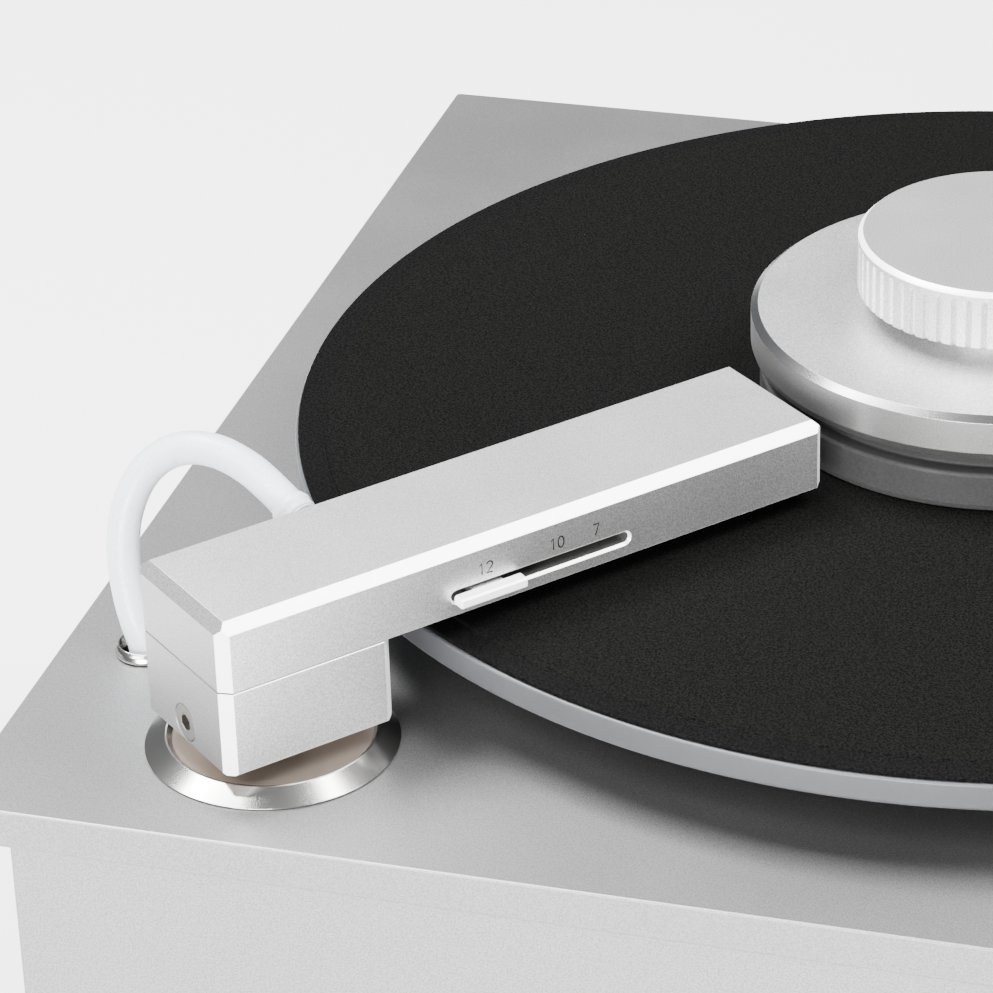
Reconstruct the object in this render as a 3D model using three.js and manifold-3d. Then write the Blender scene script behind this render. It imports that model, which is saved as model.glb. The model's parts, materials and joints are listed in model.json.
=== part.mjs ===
// Record-cleaning turntable: a plinth with a spinning platter, a label clamp and a swinging vacuum arm.
// Millimetres, +Z up, the origin on the floor under the middle of the square top plate.
// X runs to the right and Y to the rear. Heights on the deck are counted from the top plate's upper face.
import * as THREE from 'three';
import { mergeVertices } from 'three/addons/utils/BufferGeometryUtils.js';
import Module from 'manifold-3d';

const wasm = await Module();
wasm.setup();

// ---------------------------------------------------------------- driving dimensions
const GAP = 0.3; // clearance between neighbouring pieces
const CUT = 1; // how far a cutter runs past the face it cuts
const DEG = Math.PI / 180;
const ROUND = 64; // sides of the largest round pieces

const DECK = { size: 336, thick: 8, top: 190, edge: 0.8 };
const CASE = { out: 160, wall: 3, floor: 14, floorThick: 3, post: 14 };
const VENT = { count: 7, x: -46, pitch: 8, z: 108, half: 1.5, halfHigh: 12 };
const FOOT = { r: 22, at: 128, lip: 2 };

const PLATTER = { r: 146.3, bottom: 12.8, top: 18.5, edge: 0.5 };
const MAT = { r: 145.7, band: 5.3, step: 0.35, top: 19.8 };
const SPINDLE = { r: 6, tip: 3.55, top: 36, bottom: 92, nose: 3, noseTip: 1.4 };
const BARREL = { r: 13, flange: 30, bottom: 116, shoulder: 168 };
const HUB = { r: 45, bottom: 4.6 };
const PULLEY = { r: 50, width: 12, z: 98, web: 4, rim: 1.2, rimWide: 1.5, hub: 14, hoop: 6 };
const MOTOR = { x: 88, y: -62, r: 30, nose: 22, pulley: 12, shaft: 4, grip: 14, top: 176, bottom: 118 };
const BELT = { thick: 1.4, width: 7 };

const CLAMP = { r: 51.4, top: 41.9, bottom: 32.4, bevel: 1.5, hub: 30, bore: 3.9, boreTop: 38.5 };
const SEAL = { r: 49.5, neck: 46, inner: 36, top: 28.3 };
const KNOB = { r: 29.5, top: 58, bottom: 45.5, neck: 20, bevel: 0.9 };
const FLUTE = { count: 60, depth: 0.6, top: 56.2 };

const PIVOT = { x: -115.6, y: -132.3 }; // swing axis of the arm
const HEADING = 48.87 * DEG; // the beam points from its pivot at the spindle
const BEAM = { x0: -18.42, x1: 119.2, half: 16.07, z0: 24.4, z1: 38.8, chamfer: 2.14 };
const CHAMBER = { x0: 14, x1: 115, half: 12.5, top: 34.8 };
const BASE = { x0: 19, top: 26.6, slitX0: 27, slitX1: 112, slitHalf: 1.5 };
const LIP = { x0: 25, x1: 114, y0: 1.9, y1: 4.9, bottom: 23.2 };
const SLOT = { x0: 31.1, x1: 72.5, z0: 26.6, z1: 29.9, flare: 0.85 };
const SHUTTER = { before: 12, after: 14, y1: 8, thick: 1.5 };
const TAB = { x0: 31.9, x1: 47, z0: 26.85, z1: 28.95, front: -18.9, edge: 0.35 };
const BLOCK = { x1: 18.42, z0: 6.3, bottomEdge: 0.5 };
const BOLT = { z: 10.7, head: 3.85, shank: 2, cone: 2.2, length: 12, socket: 1.5, socketDepth: 2.2 };
const SHAFT = { r: 5.3, top: 20, bottom: -56 };
const SLEEVE = { r: 9, bore: 5.6, top: 2.2, bottom: -58.6 };
const HOUSING = { r: 14, bore: 9.3, flange: 22, flangeThick: 4, bottom: -78, floor: 3 };
const SPRING = { r: 6.6, wire: 0.7, turns: 4, perTurn: 9 };
const FLANGE = { r: 24.6, rim: 20.2, high: 2.84, dish: 1.9, bore: 9.4 };

const HOSE = { r: 3.35, sides: 10, steps: 32 };
// The clear hose, as centre points from the nipple to the deck port, in the arm's own frame.
const HOSE_ROUTE = [
  [20.1, 20.5, 32.6], [19, 27.2, 35.5], [17.1, 34.1, 38.4], [14.2, 40.7, 40.1], [10.6, 46.5, 39.8],
  [6.5, 50.8, 37.2], [2.4, 53, 32.4], [-1.1, 53, 25.8], [-3.4, 51, 18.6], [-4.4, 48, 12],
  [-4.6, 45.2, 6.6], [-4.2, 43.4, 2.6], [-4, 43, 0], [-4, 43, -5],
];
const PORT = { x: -4, y: 43, r: 6.2, high: 2.4, bore: 4, tube: 5.2, bottom: -16 };
const NIPPLE = { r: 2.4, depth: 8, ring: 4, ringBack: 2.9, ringThick: 1.2 };

const TANK = { x0: 10, x1: 150, y0: 62, y1: 136, z0: 20, z1: 118, wall: 2.5, corner: 8 };
const LID = { thick: 4, inletX: 36, outletX: 66, y: 100, spigot: 6, duct: 9.5, high: 12 };
const BLOWER = { x: -88, y: 85, r: 58, z0: 80.3, z1: 122, wall: 3, eye: 14, eyeHigh: 8, outletY: 152 };
const BLOWER_MOTOR = { r: 42, z0: 20, edge: 4 };
const IMPELLER = { r: 47, boss: 9, blades: 12, eye: 14, plate: 2, thick: 2 };
const DRAIN = { x: 80, z: 34, half: 12, z0: 24, z1: 68, nozzle: 6, bore: 4, reach: 167 };
const STEM = { r: 4, z: 58, knob: 6, lever: 24 };
const INLET = { x: -126, z: 46, w: 28, h: 22, body: 12, bodyHigh: 8.5, back: 138, lip: 2.5 };
const PIN = { half: 1, halfHigh: 2, apart: 6, down: 1.5 };
const SWITCH = { x: -126, z: 80, frame: 9, frameHigh: 12, body: 7, bodyHigh: 10, lip: 2 };
const ROCKER = { half: 5.5, high: 7, tilt: 7 * DEG };
const BUTTON = { r: 8, collar: 1.6, x: [84, 106, 128], y: -140, top: 2, bottom: -12, edge: 0.6 };
const COIL = { x: -92, y: -72, r: 36, bore: 10, z: 18, high: 42, round: 5 };
const BOARD = { x0: 36, x1: 152, y0: -126, y1: -96, z: 150, thick: 1.6 };

// The hose inside the plinth, from the deck port to the tank's inlet, as centre points.
const TANK_HOSE_ROUTE = [
  [-150.6, -107, 174], [-150.6, -106.8, 164], [-147, -101, 153], [-136, -84, 146], [-112, -52, 143],
  [-80, -8, 142], [-46, 42, 142], [-14, 80, 145], [14, 97, 149], [31, 100, 146], [36, 100, 140],
  [36, 100, 130.9],
];
const AIR_DUCT_ROUTE = [
  [-88, 85, 130.5], [-88, 85, 142], [-82, 86, 153], [-66, 89, 161], [-40, 93, 163], [10, 98, 163],
  [40, 100, 162], [58, 100, 155], [66, 100, 144], [66, 100, 130.9],
];

// ---------------------------------------------------------------- materials
function material(color, roughness, metalness) {
  return new THREE.MeshStandardMaterial({ color, roughness, metalness });
}
const satin = material(0xc6c7c9, 0.45, 0.9);
const deckMetal = material(0xb9bbbd, 0.5, 0.85);
const polished = material(0xd8d6d2, 0.18, 1);
const darkPaint = material(0x2b2d30, 0.6, 0.3);
const feltBlack = material(0x232325, 0.95, 0);
const frosted = material(0xaab2b8, 0.5, 0);
const clearHose = material(0xdfe8ee, 0.3, 0);
const rubber = material(0x1b1b1c, 0.8, 0);
const steel = material(0x9fa2a5, 0.35, 1);
const brass = material(0xb08d4a, 0.35, 1);
const tankPlastic = material(0xd5dbe0, 0.4, 0);
const blackPlastic = material(0x18191b, 0.5, 0);
const boardGreen = material(0x1f5a3a, 0.6, 0);
const copper = material(0xa8623a, 0.4, 0.8);

// ---------------------------------------------------------------- geometry helpers
function volumeOf(geometry) {
  const p = geometry.attributes.position;
  const index = geometry.index.array;
  const [a, b, c] = [new THREE.Vector3(), new THREE.Vector3(), new THREE.Vector3()];
  let sum = 0;
  for (let i = 0; i < index.length; i += 3) {
    a.fromBufferAttribute(p, index[i]);
    b.fromBufferAttribute(p, index[i + 1]);
    c.fromBufferAttribute(p, index[i + 2]);
    sum += a.dot(b.cross(c)) / 6;
  }
  return sum;
}

// Shared vertices merged, empty triangles dropped and all faces pointing out.
function welded(source) {
  const bare = new THREE.BufferGeometry();
  bare.setAttribute('position', source.attributes.position.clone());
  if (source.index) bare.setIndex(source.index.clone());
  const merged = mergeVertices(bare, 1e-4);
  const kept = [];
  const index = merged.index.array;
  for (let i = 0; i < index.length; i += 3) {
    const [a, b, c] = [index[i], index[i + 1], index[i + 2]];
    if (a !== b && b !== c && c !== a) kept.push(a, b, c);
  }
  merged.setIndex(kept);
  if (volumeOf(merged) < 0) {
    for (let i = 0; i < kept.length; i += 3) [kept[i + 1], kept[i + 2]] = [kept[i + 2], kept[i + 1]];
    merged.setIndex(kept);
  }
  return merged;
}

function toSolid(source) {
  const g = welded(source);
  const vertProperties = new Float32Array(g.attributes.position.array);
  const triVerts = new Uint32Array(g.index.array);
  return new wasm.Manifold(new wasm.Mesh({ numProp: 3, vertProperties, triVerts }));
}

function fromSolid(solid) {
  const mesh = solid.getMesh();
  const g = new THREE.BufferGeometry();
  g.setAttribute('position', new THREE.BufferAttribute(new Float32Array(mesh.vertProperties), 3));
  g.setIndex(new THREE.BufferAttribute(new Uint32Array(mesh.triVerts), 1));
  return g;
}

const cut = (base, ...tools) => fromSolid(tools.reduce((s, t) => s.subtract(toSolid(t)), toSolid(base)));
const join = (base, ...others) => fromSolid(others.reduce((s, t) => s.add(toSolid(t)), toSolid(base)));
function common(base, ...others) {
  return fromSolid(others.reduce((s, t) => s.intersect(toSolid(t)), toSolid(base)));
}

function box(x0, x1, y0, y1, z0, z1) {
  const g = new THREE.BoxGeometry(x1 - x0, y1 - y0, z1 - z0);
  return g.translate((x0 + x1) / 2, (y0 + y1) / 2, (z0 + z1) / 2);
}

// A turned piece about Z: profile points are [radius, height], closed on itself or on the axis.
function turned(profile, segments = 20) {
  const closed = profile[0][0] > 0 ? [...profile, profile[0]] : profile;
  const g = new THREE.LatheGeometry(closed.map(([r, z]) => new THREE.Vector2(r, z)), segments);
  return welded(g.rotateX(Math.PI / 2));
}

const disc = (r, z0, z1, segments = 20) => turned([[0, z0], [r, z0], [r, z1], [0, z1]], segments);
function ring(rIn, rOut, z0, z1, segments = 24) {
  return turned([[rIn, z0], [rOut, z0], [rOut, z1], [rIn, z1]], segments);
}

function polygon(points) {
  return new THREE.Shape(points.map(([x, y]) => new THREE.Vector2(x, y)));
}

function extruded(shape, depth) {
  return new THREE.ExtrudeGeometry(shape, { depth, bevelEnabled: false, curveSegments: 4 });
}

const alongZ = (shape, z0, z1) => extruded(shape, z1 - z0).translate(0, 0, z0);
// A shape drawn in (x, z), made solid from y0 to y1.
const alongY = (shape, y0, y1) => extruded(shape, y1 - y0).rotateX(Math.PI / 2).translate(0, y1, 0);
// A shape drawn in (y, z), made solid from x0 to x1.
function alongX(shape, x0, x1) {
  return extruded(shape, x1 - x0).rotateX(Math.PI / 2).rotateZ(Math.PI / 2).translate(x0, 0, 0);
}

function rodY(r, y0, y1, x, z, segments = 16) {
  return disc(r, y0, y1, segments).rotateX(-Math.PI / 2).translate(x, 0, z);
}

function roundedRect(x0, x1, y0, y1, r) {
  const s = new THREE.Shape();
  s.moveTo(x0 + r, y0).lineTo(x1 - r, y0).absarc(x1 - r, y0 + r, r, -Math.PI / 2, 0, false);
  s.lineTo(x1, y1 - r).absarc(x1 - r, y1 - r, r, 0, Math.PI / 2, false);
  s.lineTo(x0 + r, y1).absarc(x0 + r, y1 - r, r, Math.PI / 2, Math.PI, false);
  s.lineTo(x0, y0 + r).absarc(x0 + r, y0 + r, r, Math.PI, 1.5 * Math.PI, false);
  return s;
}

// A rectangle with its corners cut off: `low` on the two corners at y0 and `high` on the two at y1.
function chamferedRect(x0, x1, y0, y1, low, high) {
  const corners = [
    [x0 + low, y0], [x1 - low, y0], [x1, y0 + low], [x1, y1 - high],
    [x1 - high, y1], [x0 + high, y1], [x0, y1 - high], [x0, y0 + low],
  ];
  const distinct = corners.filter(([x, y], i) => {
    const [px, py] = corners[(i + 7) % 8];
    return Math.hypot(x - px, y - py) > 1e-6;
  });
  return polygon(distinct);
}

// A bar with mitred 45-degree chamfers on its upright corners, its top edges and its bottom edges.
function chamferedBar({ x0, x1, half, z0, z1 }, corner, top, bottom) {
  const plan = alongZ(chamferedRect(x0, x1, -half, half, corner, corner), z0, z1);
  const side = alongY(chamferedRect(x0, x1, z0, z1, bottom, top), -half, half);
  const end = alongX(chamferedRect(-half, half, z0, z1, bottom, top), x0, x1);
  return common(plan, side, end);
}

function tube(route, r, sides, steps) {
  const path = new THREE.CatmullRomCurve3(route.map((p) => new THREE.Vector3(...p)), false, 'centripetal');
  const section = [];
  for (let i = 0; i < sides; i++) {
    const a = (2 * Math.PI * i) / sides;
    section.push([r * Math.cos(a), r * Math.sin(a)]);
  }
  return new THREE.ExtrudeGeometry(polygon(section), { steps, extrudePath: path, bevelEnabled: false });
}

const group = new THREE.Group();

function node(name, geometry, look, parent = group) {
  const mesh = new THREE.Mesh(welded(geometry), look);
  mesh.name = name;
  parent.add(mesh);
  return mesh;
}

// Heights given from the deck, as heights from the floor.
const deck = (z) => DECK.top + z;

// The arm's pieces share one group, turned to the arm's heading, with its origin on the deck at the pivot.
const arm = new THREE.Group();
arm.position.set(PIVOT.x, PIVOT.y, DECK.top);
arm.rotation.z = HEADING;
group.add(arm);

// A place in the arm's frame, as a place on the deck.
function armToDeck(x, y) {
  const [c, s] = [Math.cos(HEADING), Math.sin(HEADING)];
  return [PIVOT.x + x * c - y * s, PIVOT.y + x * s + y * c];
}

// ---------------------------------------------------------------- plinth
function addPlinth() {
  const half = DECK.size / 2;
  const [portX, portY] = armToDeck(PORT.x, PORT.y);
  const slab = { x0: -half, x1: half, half, z0: DECK.top - DECK.thick, z1: DECK.top };
  const hole = (r, x, y, sides = 24) => disc(r, slab.z0 - CUT, slab.z1 + CUT, sides).translate(x, y, 0);
  const plate = cut(
    chamferedBar(slab, DECK.edge, DECK.edge, DECK.edge),
    hole(BARREL.r + 0.6, 0, 0),
    hole(SLEEVE.r + 0.5, PIVOT.x, PIVOT.y),
    hole(PORT.tube + 0.4, portX, portY, 16),
    ...BUTTON.x.map((x) => hole(BUTTON.r + 0.4, x, BUTTON.y, 16)),
  );
  node('top_plate', plate, deckMetal);

  const low = CASE.floor + CASE.floorThick + GAP;
  const high = DECK.top - DECK.thick - GAP;
  const inner = CASE.out - CASE.wall;
  node('front_panel', box(-CASE.out, CASE.out, -CASE.out, -inner, low, high), satin);
  node('left_panel', box(-CASE.out, -inner, -inner + GAP, inner - GAP, low, high), satin);
  node('right_panel', box(inner, CASE.out, -inner + GAP, inner - GAP, low, high), satin);

  const [v, outside] = [VENT, CASE.out + CUT];
  const vents = [];
  for (let i = 0; i < v.count; i++) {
    const x = v.x - v.pitch * i;
    const outline = chamferedRect(x - v.half, x + v.half, v.z - v.halfHigh, v.z + v.halfHigh, 1, 1);
    vents.push(alongY(outline, inner - CUT, outside));
  }
  const rear = cut(
    box(-CASE.out, CASE.out, inner, CASE.out, low, high),
    rodY(DRAIN.nozzle + 0.5, inner - CUT, outside, DRAIN.x, DRAIN.z),
    rodY(STEM.r + 0.5, inner - CUT, outside, DRAIN.x, STEM.z),
    window(INLET, inner - CUT, outside),
    window(SWITCH, inner - CUT, outside),
    ...vents,
  );
  node('rear_panel', rear, satin);
  const floorTop = CASE.floor + CASE.floorThick;
  node('bottom_plate', box(-CASE.out, CASE.out, -CASE.out, CASE.out, CASE.floor, floorTop), darkPaint);
  addCorners(low, high, inner - GAP);
}

// The opening in the rear panel for a fitting that pushes in from behind.
function window(fitting, y0, y1) {
  const [w, h] = [fitting.body + GAP, fitting.bodyHigh + GAP];
  return box(fitting.x - w, fitting.x + w, y0, y1, fitting.z - h, fitting.z + h);
}

function addCorners(low, high, far) {
  const near = far - CASE.post;
  const sides = [['front', -1], ['rear', 1]];
  for (const [depth, sy] of sides) {
    for (const [side, sx] of [['left', -1], ['right', 1]]) {
      const [x0, x1] = [Math.min(sx * near, sx * far), Math.max(sx * near, sx * far)];
      const [y0, y1] = [Math.min(sy * near, sy * far), Math.max(sy * near, sy * far)];
      node(`corner_post_${depth}_${side}`, box(x0, x1, y0, y1, low, high), steel);
      const foot = turned([
        [0, 0], [FOOT.r - FOOT.lip, 0], [FOOT.r, FOOT.lip], [FOOT.r, CASE.floor - 5],
        [FOOT.r - FOOT.lip, CASE.floor - GAP], [0, CASE.floor - GAP],
      ], 16);
      node(`foot_${depth}_${side}`, foot.translate(sx * FOOT.at, sy * FOOT.at, 0), rubber);
    }
  }
}

// ---------------------------------------------------------------- platter and drive
function addPlatter() {
  const barrelTop = deck(HUB.bottom - 0.6);
  const underDeck = deck(-DECK.thick) - GAP;
  const bearing = turned([
    [SPINDLE.r + GAP, BARREL.bottom], [BARREL.r, BARREL.bottom], [BARREL.r, BARREL.shoulder],
    [BARREL.flange, BARREL.shoulder], [BARREL.flange, underDeck], [BARREL.r, underDeck],
    [BARREL.r, barrelTop], [SPINDLE.r + GAP, barrelTop],
  ]);
  node('platter_bearing', bearing, steel);

  const shoulder = deck(PLATTER.bottom) - GAP;
  const spindle = turned([
    [0, SPINDLE.bottom], [SPINDLE.r, SPINDLE.bottom], [SPINDLE.r, shoulder], [SPINDLE.tip, shoulder],
    [SPINDLE.tip, deck(SPINDLE.top - SPINDLE.nose)], [SPINDLE.noseTip, deck(SPINDLE.top)],
    [0, deck(SPINDLE.top)],
  ]);
  node('spindle', spindle, polished);
  node('platter_hub', ring(SPINDLE.r + GAP, HUB.r, deck(HUB.bottom), shoulder, 32), satin);

  const e = PLATTER.edge;
  const platter = turned([
    [SPINDLE.tip + GAP, deck(PLATTER.bottom)], [PLATTER.r - e, deck(PLATTER.bottom)],
    [PLATTER.r, deck(PLATTER.bottom + e)], [PLATTER.r, deck(PLATTER.top - e)],
    [PLATTER.r - e, deck(PLATTER.top)], [SPINDLE.tip + GAP, deck(PLATTER.top)],
  ], ROUND);
  node('platter', platter, frosted);

  const matBottom = deck(PLATTER.top) + 0.1;
  const mat = turned([
    [SPINDLE.tip + GAP, matBottom], [MAT.r, matBottom], [MAT.r, deck(MAT.top - MAT.step)],
    [MAT.r - MAT.band, deck(MAT.top - MAT.step)], [MAT.r - MAT.band - 0.3, deck(MAT.top)],
    [SPINDLE.tip + GAP, deck(MAT.top)],
  ], ROUND);
  node('platter_mat', mat, feltBlack);
}

// The outside of a flat-belt pulley with raised rims, from its lower edge to its upper edge.
function pulleyTrack(r) {
  const half = PULLEY.width / 2;
  const track = r - PULLEY.rim;
  const [rimTop, trackEnd] = [half - PULLEY.rimWide, half - PULLEY.rimWide - 0.7];
  return [[r, -half], [r, -rimTop], [track, -trackEnd], [track, trackEnd], [r, rimTop], [r, half]];
}

function addDrive() {
  const [hub, rim, web, half] = [PULLEY.hub, PULLEY.r - PULLEY.hoop, PULLEY.web / 2, PULLEY.width / 2];
  const inside = [[rim, half], [rim, web], [hub, web], [hub, half], [SPINDLE.r + GAP, half]];
  const under = inside.map(([r, z]) => [r, -z]).reverse();
  const outside = pulleyTrack(PULLEY.r);
  const wheel = [...under, ...outside, ...inside].map(([r, z]) => [r, PULLEY.z + z]);
  node('driven_pulley', turned(wheel, 24), blackPlastic);

  const shaftTop = MOTOR.bottom + MOTOR.grip - PULLEY.z;
  const shaft = [[MOTOR.shaft, half], [MOTOR.shaft, shaftTop], [0, shaftTop]];
  const drum = [[0, -half], ...pulleyTrack(MOTOR.pulley), ...shaft];
  node('motor_pulley', turned(drum).translate(MOTOR.x, MOTOR.y, PULLEY.z), brass);

  const can = cut(
    turned([
      [0, MOTOR.bottom], [MOTOR.nose, MOTOR.bottom], [MOTOR.nose, MOTOR.bottom + 6],
      [MOTOR.r, MOTOR.bottom + 6],
      [MOTOR.r, MOTOR.top - 2], [MOTOR.r - 2, MOTOR.top], [0, MOTOR.top],
    ]),
    disc(MOTOR.shaft + GAP, MOTOR.bottom - CUT, MOTOR.bottom + MOTOR.grip + 2),
  );
  node('drive_motor', can.translate(MOTOR.x, MOTOR.y, 0), steel);
  const bracket = roundedRect(MOTOR.x - 40, MOTOR.x + 40, MOTOR.y - 32, MOTOR.y + 28, 6);
  node('motor_bracket', alongZ(bracket, MOTOR.top + GAP, DECK.top - DECK.thick - GAP), steel);
  node('drive_belt', belt(), rubber);
}

// The belt's loop: two arcs round the pulleys' tracks, joined by the two outer tangents.
function belt() {
  const distance = Math.hypot(MOTOR.x, MOTOR.y);
  const facing = Math.atan2(MOTOR.y, MOTOR.x);
  const rim = (extra) => {
    const [big, small] = [PULLEY.r - PULLEY.rim + extra, MOTOR.pulley - PULLEY.rim + extra];
    const spread = Math.acos((big - small) / distance);
    const points = [];
    const arc = (cx, cy, r, from, to, count) => {
      for (let i = 0; i <= count; i++) {
        const a = from + ((to - from) * i) / count;
        points.push([cx + r * Math.cos(a), cy + r * Math.sin(a)]);
      }
    };
    arc(0, 0, big, facing + spread, facing + 2 * Math.PI - spread, 36);
    arc(MOTOR.x, MOTOR.y, small, facing - spread, facing + spread, 14);
    return points;
  };
  const loop = polygon(rim(GAP + BELT.thick));
  loop.holes.push(new THREE.Path(rim(GAP).map(([x, y]) => new THREE.Vector2(x, y))));
  return alongZ(loop, PULLEY.z - BELT.width / 2, PULLEY.z + BELT.width / 2);
}

// ---------------------------------------------------------------- label clamp
function addClamp() {
  const bottom = deck(MAT.top) + GAP;
  const lip = SEAL.r - 0.5;
  const seal = turned([
    [SEAL.inner, bottom], [lip, bottom], [SEAL.r, bottom + 0.5], [SEAL.r, deck(SEAL.top) - 0.5],
    [lip, deck(SEAL.top)], [SEAL.neck, deck(SEAL.top)], [SEAL.neck, deck(CLAMP.bottom) - GAP],
    [SEAL.inner, deck(CLAMP.bottom) - GAP],
  ], 36);
  node('clamp_seal', seal, rubber);

  const puck = turned([
    [0, deck(CLAMP.boreTop)], [CLAMP.bore, deck(CLAMP.boreTop)], [CLAMP.bore, bottom], [CLAMP.hub, bottom],
    [CLAMP.hub, deck(CLAMP.bottom)], [CLAMP.r - 0.6, deck(CLAMP.bottom)], [CLAMP.r, deck(CLAMP.bottom) + 1.6],
    [CLAMP.r, deck(CLAMP.top) - 1.2], [CLAMP.r - CLAMP.bevel, deck(CLAMP.top)], [0, deck(CLAMP.top)],
  ], 48);
  node('clamp_disc', puck, satin);

  const body = turned([
    [0, deck(CLAMP.top) + GAP], [KNOB.neck, deck(CLAMP.top) + GAP], [KNOB.neck, deck(KNOB.bottom)],
    [KNOB.r, deck(KNOB.bottom)], [KNOB.r, deck(KNOB.top - KNOB.bevel)], [KNOB.r - KNOB.bevel, deck(KNOB.top)],
    [0, deck(KNOB.top)],
  ], FLUTE.count);
  node('clamp_knob', cut(body, fluteCutter()), satin);
}

// Everything outside the knob's fluted outline, up to the height where the flutes run out.
function fluteCutter() {
  const outline = [];
  const pitch = (2 * Math.PI) / FLUTE.count;
  const low = KNOB.r - FLUTE.depth;
  for (let i = 0; i < FLUTE.count; i++) {
    for (const [share, r] of [[0, KNOB.r + 0.01], [0.3, low], [0.7, low]]) {
      const a = pitch * (i + share);
      outline.push(new THREE.Vector2(r * Math.cos(a), r * Math.sin(a)));
    }
  }
  const around = new THREE.Shape().absarc(0, 0, KNOB.r + 4, 0, 2 * Math.PI, false);
  around.holes.push(new THREE.Path(outline));
  return alongZ(around, deck(KNOB.bottom) - CUT, deck(FLUTE.top));
}

// ---------------------------------------------------------------- vacuum arm
function addArmBearing() {
  const flange = turned([
    [FLANGE.bore, 0.1], [FLANGE.r, 0.1], [FLANGE.rim + 0.4, FLANGE.high - 0.2], [FLANGE.rim, FLANGE.high],
    [FLANGE.rim - 1, FLANGE.dish], [FLANGE.bore, FLANGE.dish],
  ], 40);
  node('arm_flange', flange, polished, arm);

  const under = -DECK.thick - GAP;
  const housing = turned([
    [0, HOUSING.bottom], [HOUSING.r, HOUSING.bottom], [HOUSING.r, under - HOUSING.flangeThick],
    [HOUSING.flange, under - HOUSING.flangeThick], [HOUSING.flange, under], [HOUSING.bore, under],
    [HOUSING.bore, HOUSING.bottom + HOUSING.floor], [0, HOUSING.bottom + HOUSING.floor],
  ], 24);
  node('arm_bearing', housing, steel, arm);
  node('lift_sleeve', ring(SLEEVE.bore, SLEEVE.r, SLEEVE.bottom, SLEEVE.top), polished, arm);

  const [low, high] = [HOUSING.bottom + HOUSING.floor + SPRING.wire + GAP, SLEEVE.bottom - SPRING.wire - GAP];
  const coil = [];
  const steps = SPRING.turns * SPRING.perTurn;
  for (let i = 0; i <= steps; i++) {
    const a = (2 * Math.PI * i) / SPRING.perTurn;
    coil.push([SPRING.r * Math.cos(a), SPRING.r * Math.sin(a), low + ((high - low) * i) / steps]);
  }
  node('lift_spring', tube(coil, SPRING.wire, 5, steps), steel, arm);
}

function stadium(x0, x1, z0, z1) {
  return roundedRect(x0, x1, z0, z1, (z1 - z0) / 2 - 1e-3);
}

// A slot through the beam's front wall with a 45-degree flare at its mouth.
function slotCutters() {
  const f = SLOT.flare;
  const through = stadium(SLOT.x0 + f, SLOT.x1 - f, SLOT.z0 + f, SLOT.z1 - f);
  const mouth = new THREE.ExtrudeGeometry(through, {
    depth: 2, bevelEnabled: true, bevelThickness: f, bevelSize: f, bevelSegments: 1, curveSegments: 8,
  });
  const inwards = -BEAM.half + f;
  mouth.rotateX(Math.PI / 2).translate(0, inwards - f, 0);
  return [mouth, alongY(through, -BEAM.half, -CHAMBER.half + CUT)];
}

// The nipple and the hose leave the beam's back along this line.
const hoseStart = new THREE.Vector3(...HOSE_ROUTE[0]);
const hoseAxis = new THREE.Vector3(...HOSE_ROUTE[1]).sub(hoseStart).normalize();

// A piece turned about Z, moved so that its height 0 is at the hose's start and +Z runs along the hose.
function onHoseAxis(geometry) {
  const turn = new THREE.Quaternion().setFromUnitVectors(new THREE.Vector3(0, 0, 1), hoseAxis);
  return geometry.applyQuaternion(turn).translate(hoseStart.x, hoseStart.y, hoseStart.z);
}

function addArm() {
  const block = { x0: BEAM.x0, x1: BLOCK.x1, half: BEAM.half, z0: BLOCK.z0, z1: BEAM.z0 - GAP };
  const towardsScrew = (g) => g.rotateY(-Math.PI / 2).translate(BEAM.x0, 0, BOLT.z);
  const [sinkDeep, holeDeep] = [-BOLT.cone, -BOLT.length - 0.4];
  const countersink = turned([
    [0, CUT], [BOLT.head + 0.2 + CUT, CUT], [BOLT.shank + GAP, sinkDeep],
    [BOLT.shank + GAP, holeDeep], [0, holeDeep],
  ], 24);
  const shell = cut(
    chamferedBar(block, BEAM.chamfer, 0, BLOCK.bottomEdge),
    disc(SHAFT.r + GAP, BLOCK.z0 - CUT, SHAFT.top + GAP),
    towardsScrew(countersink),
  );
  node('arm_block', shell, satin, arm);
  node('arm_shaft', disc(SHAFT.r, SHAFT.bottom, SHAFT.top), polished, arm);

  const hexagon = [];
  for (let i = 0; i < 6; i++) {
    const a = (i * Math.PI) / 3;
    hexagon.push([BOLT.socket * Math.cos(a), BOLT.socket * Math.sin(a)]);
  }
  const blank = turned([
    [0, -BOLT.length], [BOLT.shank, -BOLT.length], [BOLT.shank, sinkDeep],
    [BOLT.head, -0.3], [BOLT.head - 0.2, -0.1], [0, -0.1],
  ], 24);
  const screw = cut(blank, alongZ(polygon(hexagon), -BOLT.socketDepth, CUT));
  node('clamp_screw', towardsScrew(screw), polished, arm);

  const backHole = onHoseAxis(disc(NIPPLE.r + GAP, -NIPPLE.depth - CUT, 0, 16));
  const beam = cut(
    chamferedBar(BEAM, BEAM.chamfer, BEAM.chamfer, 0),
    box(CHAMBER.x0, CHAMBER.x1, -CHAMBER.half, CHAMBER.half, BEAM.z0 - CUT, CHAMBER.top),
    backHole,
    ...slotCutters(),
  );
  node('arm_beam', beam, satin, arm);

  const [ringBack, ringFront] = [-NIPPLE.ringBack, NIPPLE.ringThick - NIPPLE.ringBack];
  const nipple = onHoseAxis(turned([
    [0, -NIPPLE.depth], [NIPPLE.r, -NIPPLE.depth], [NIPPLE.r, ringBack], [NIPPLE.ring, ringBack],
    [NIPPLE.ring, ringFront], [NIPPLE.r, ringFront], [NIPPLE.r, -GAP], [0, -GAP],
  ], 16));
  node('hose_nipple', nipple, polished, arm);
}

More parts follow.
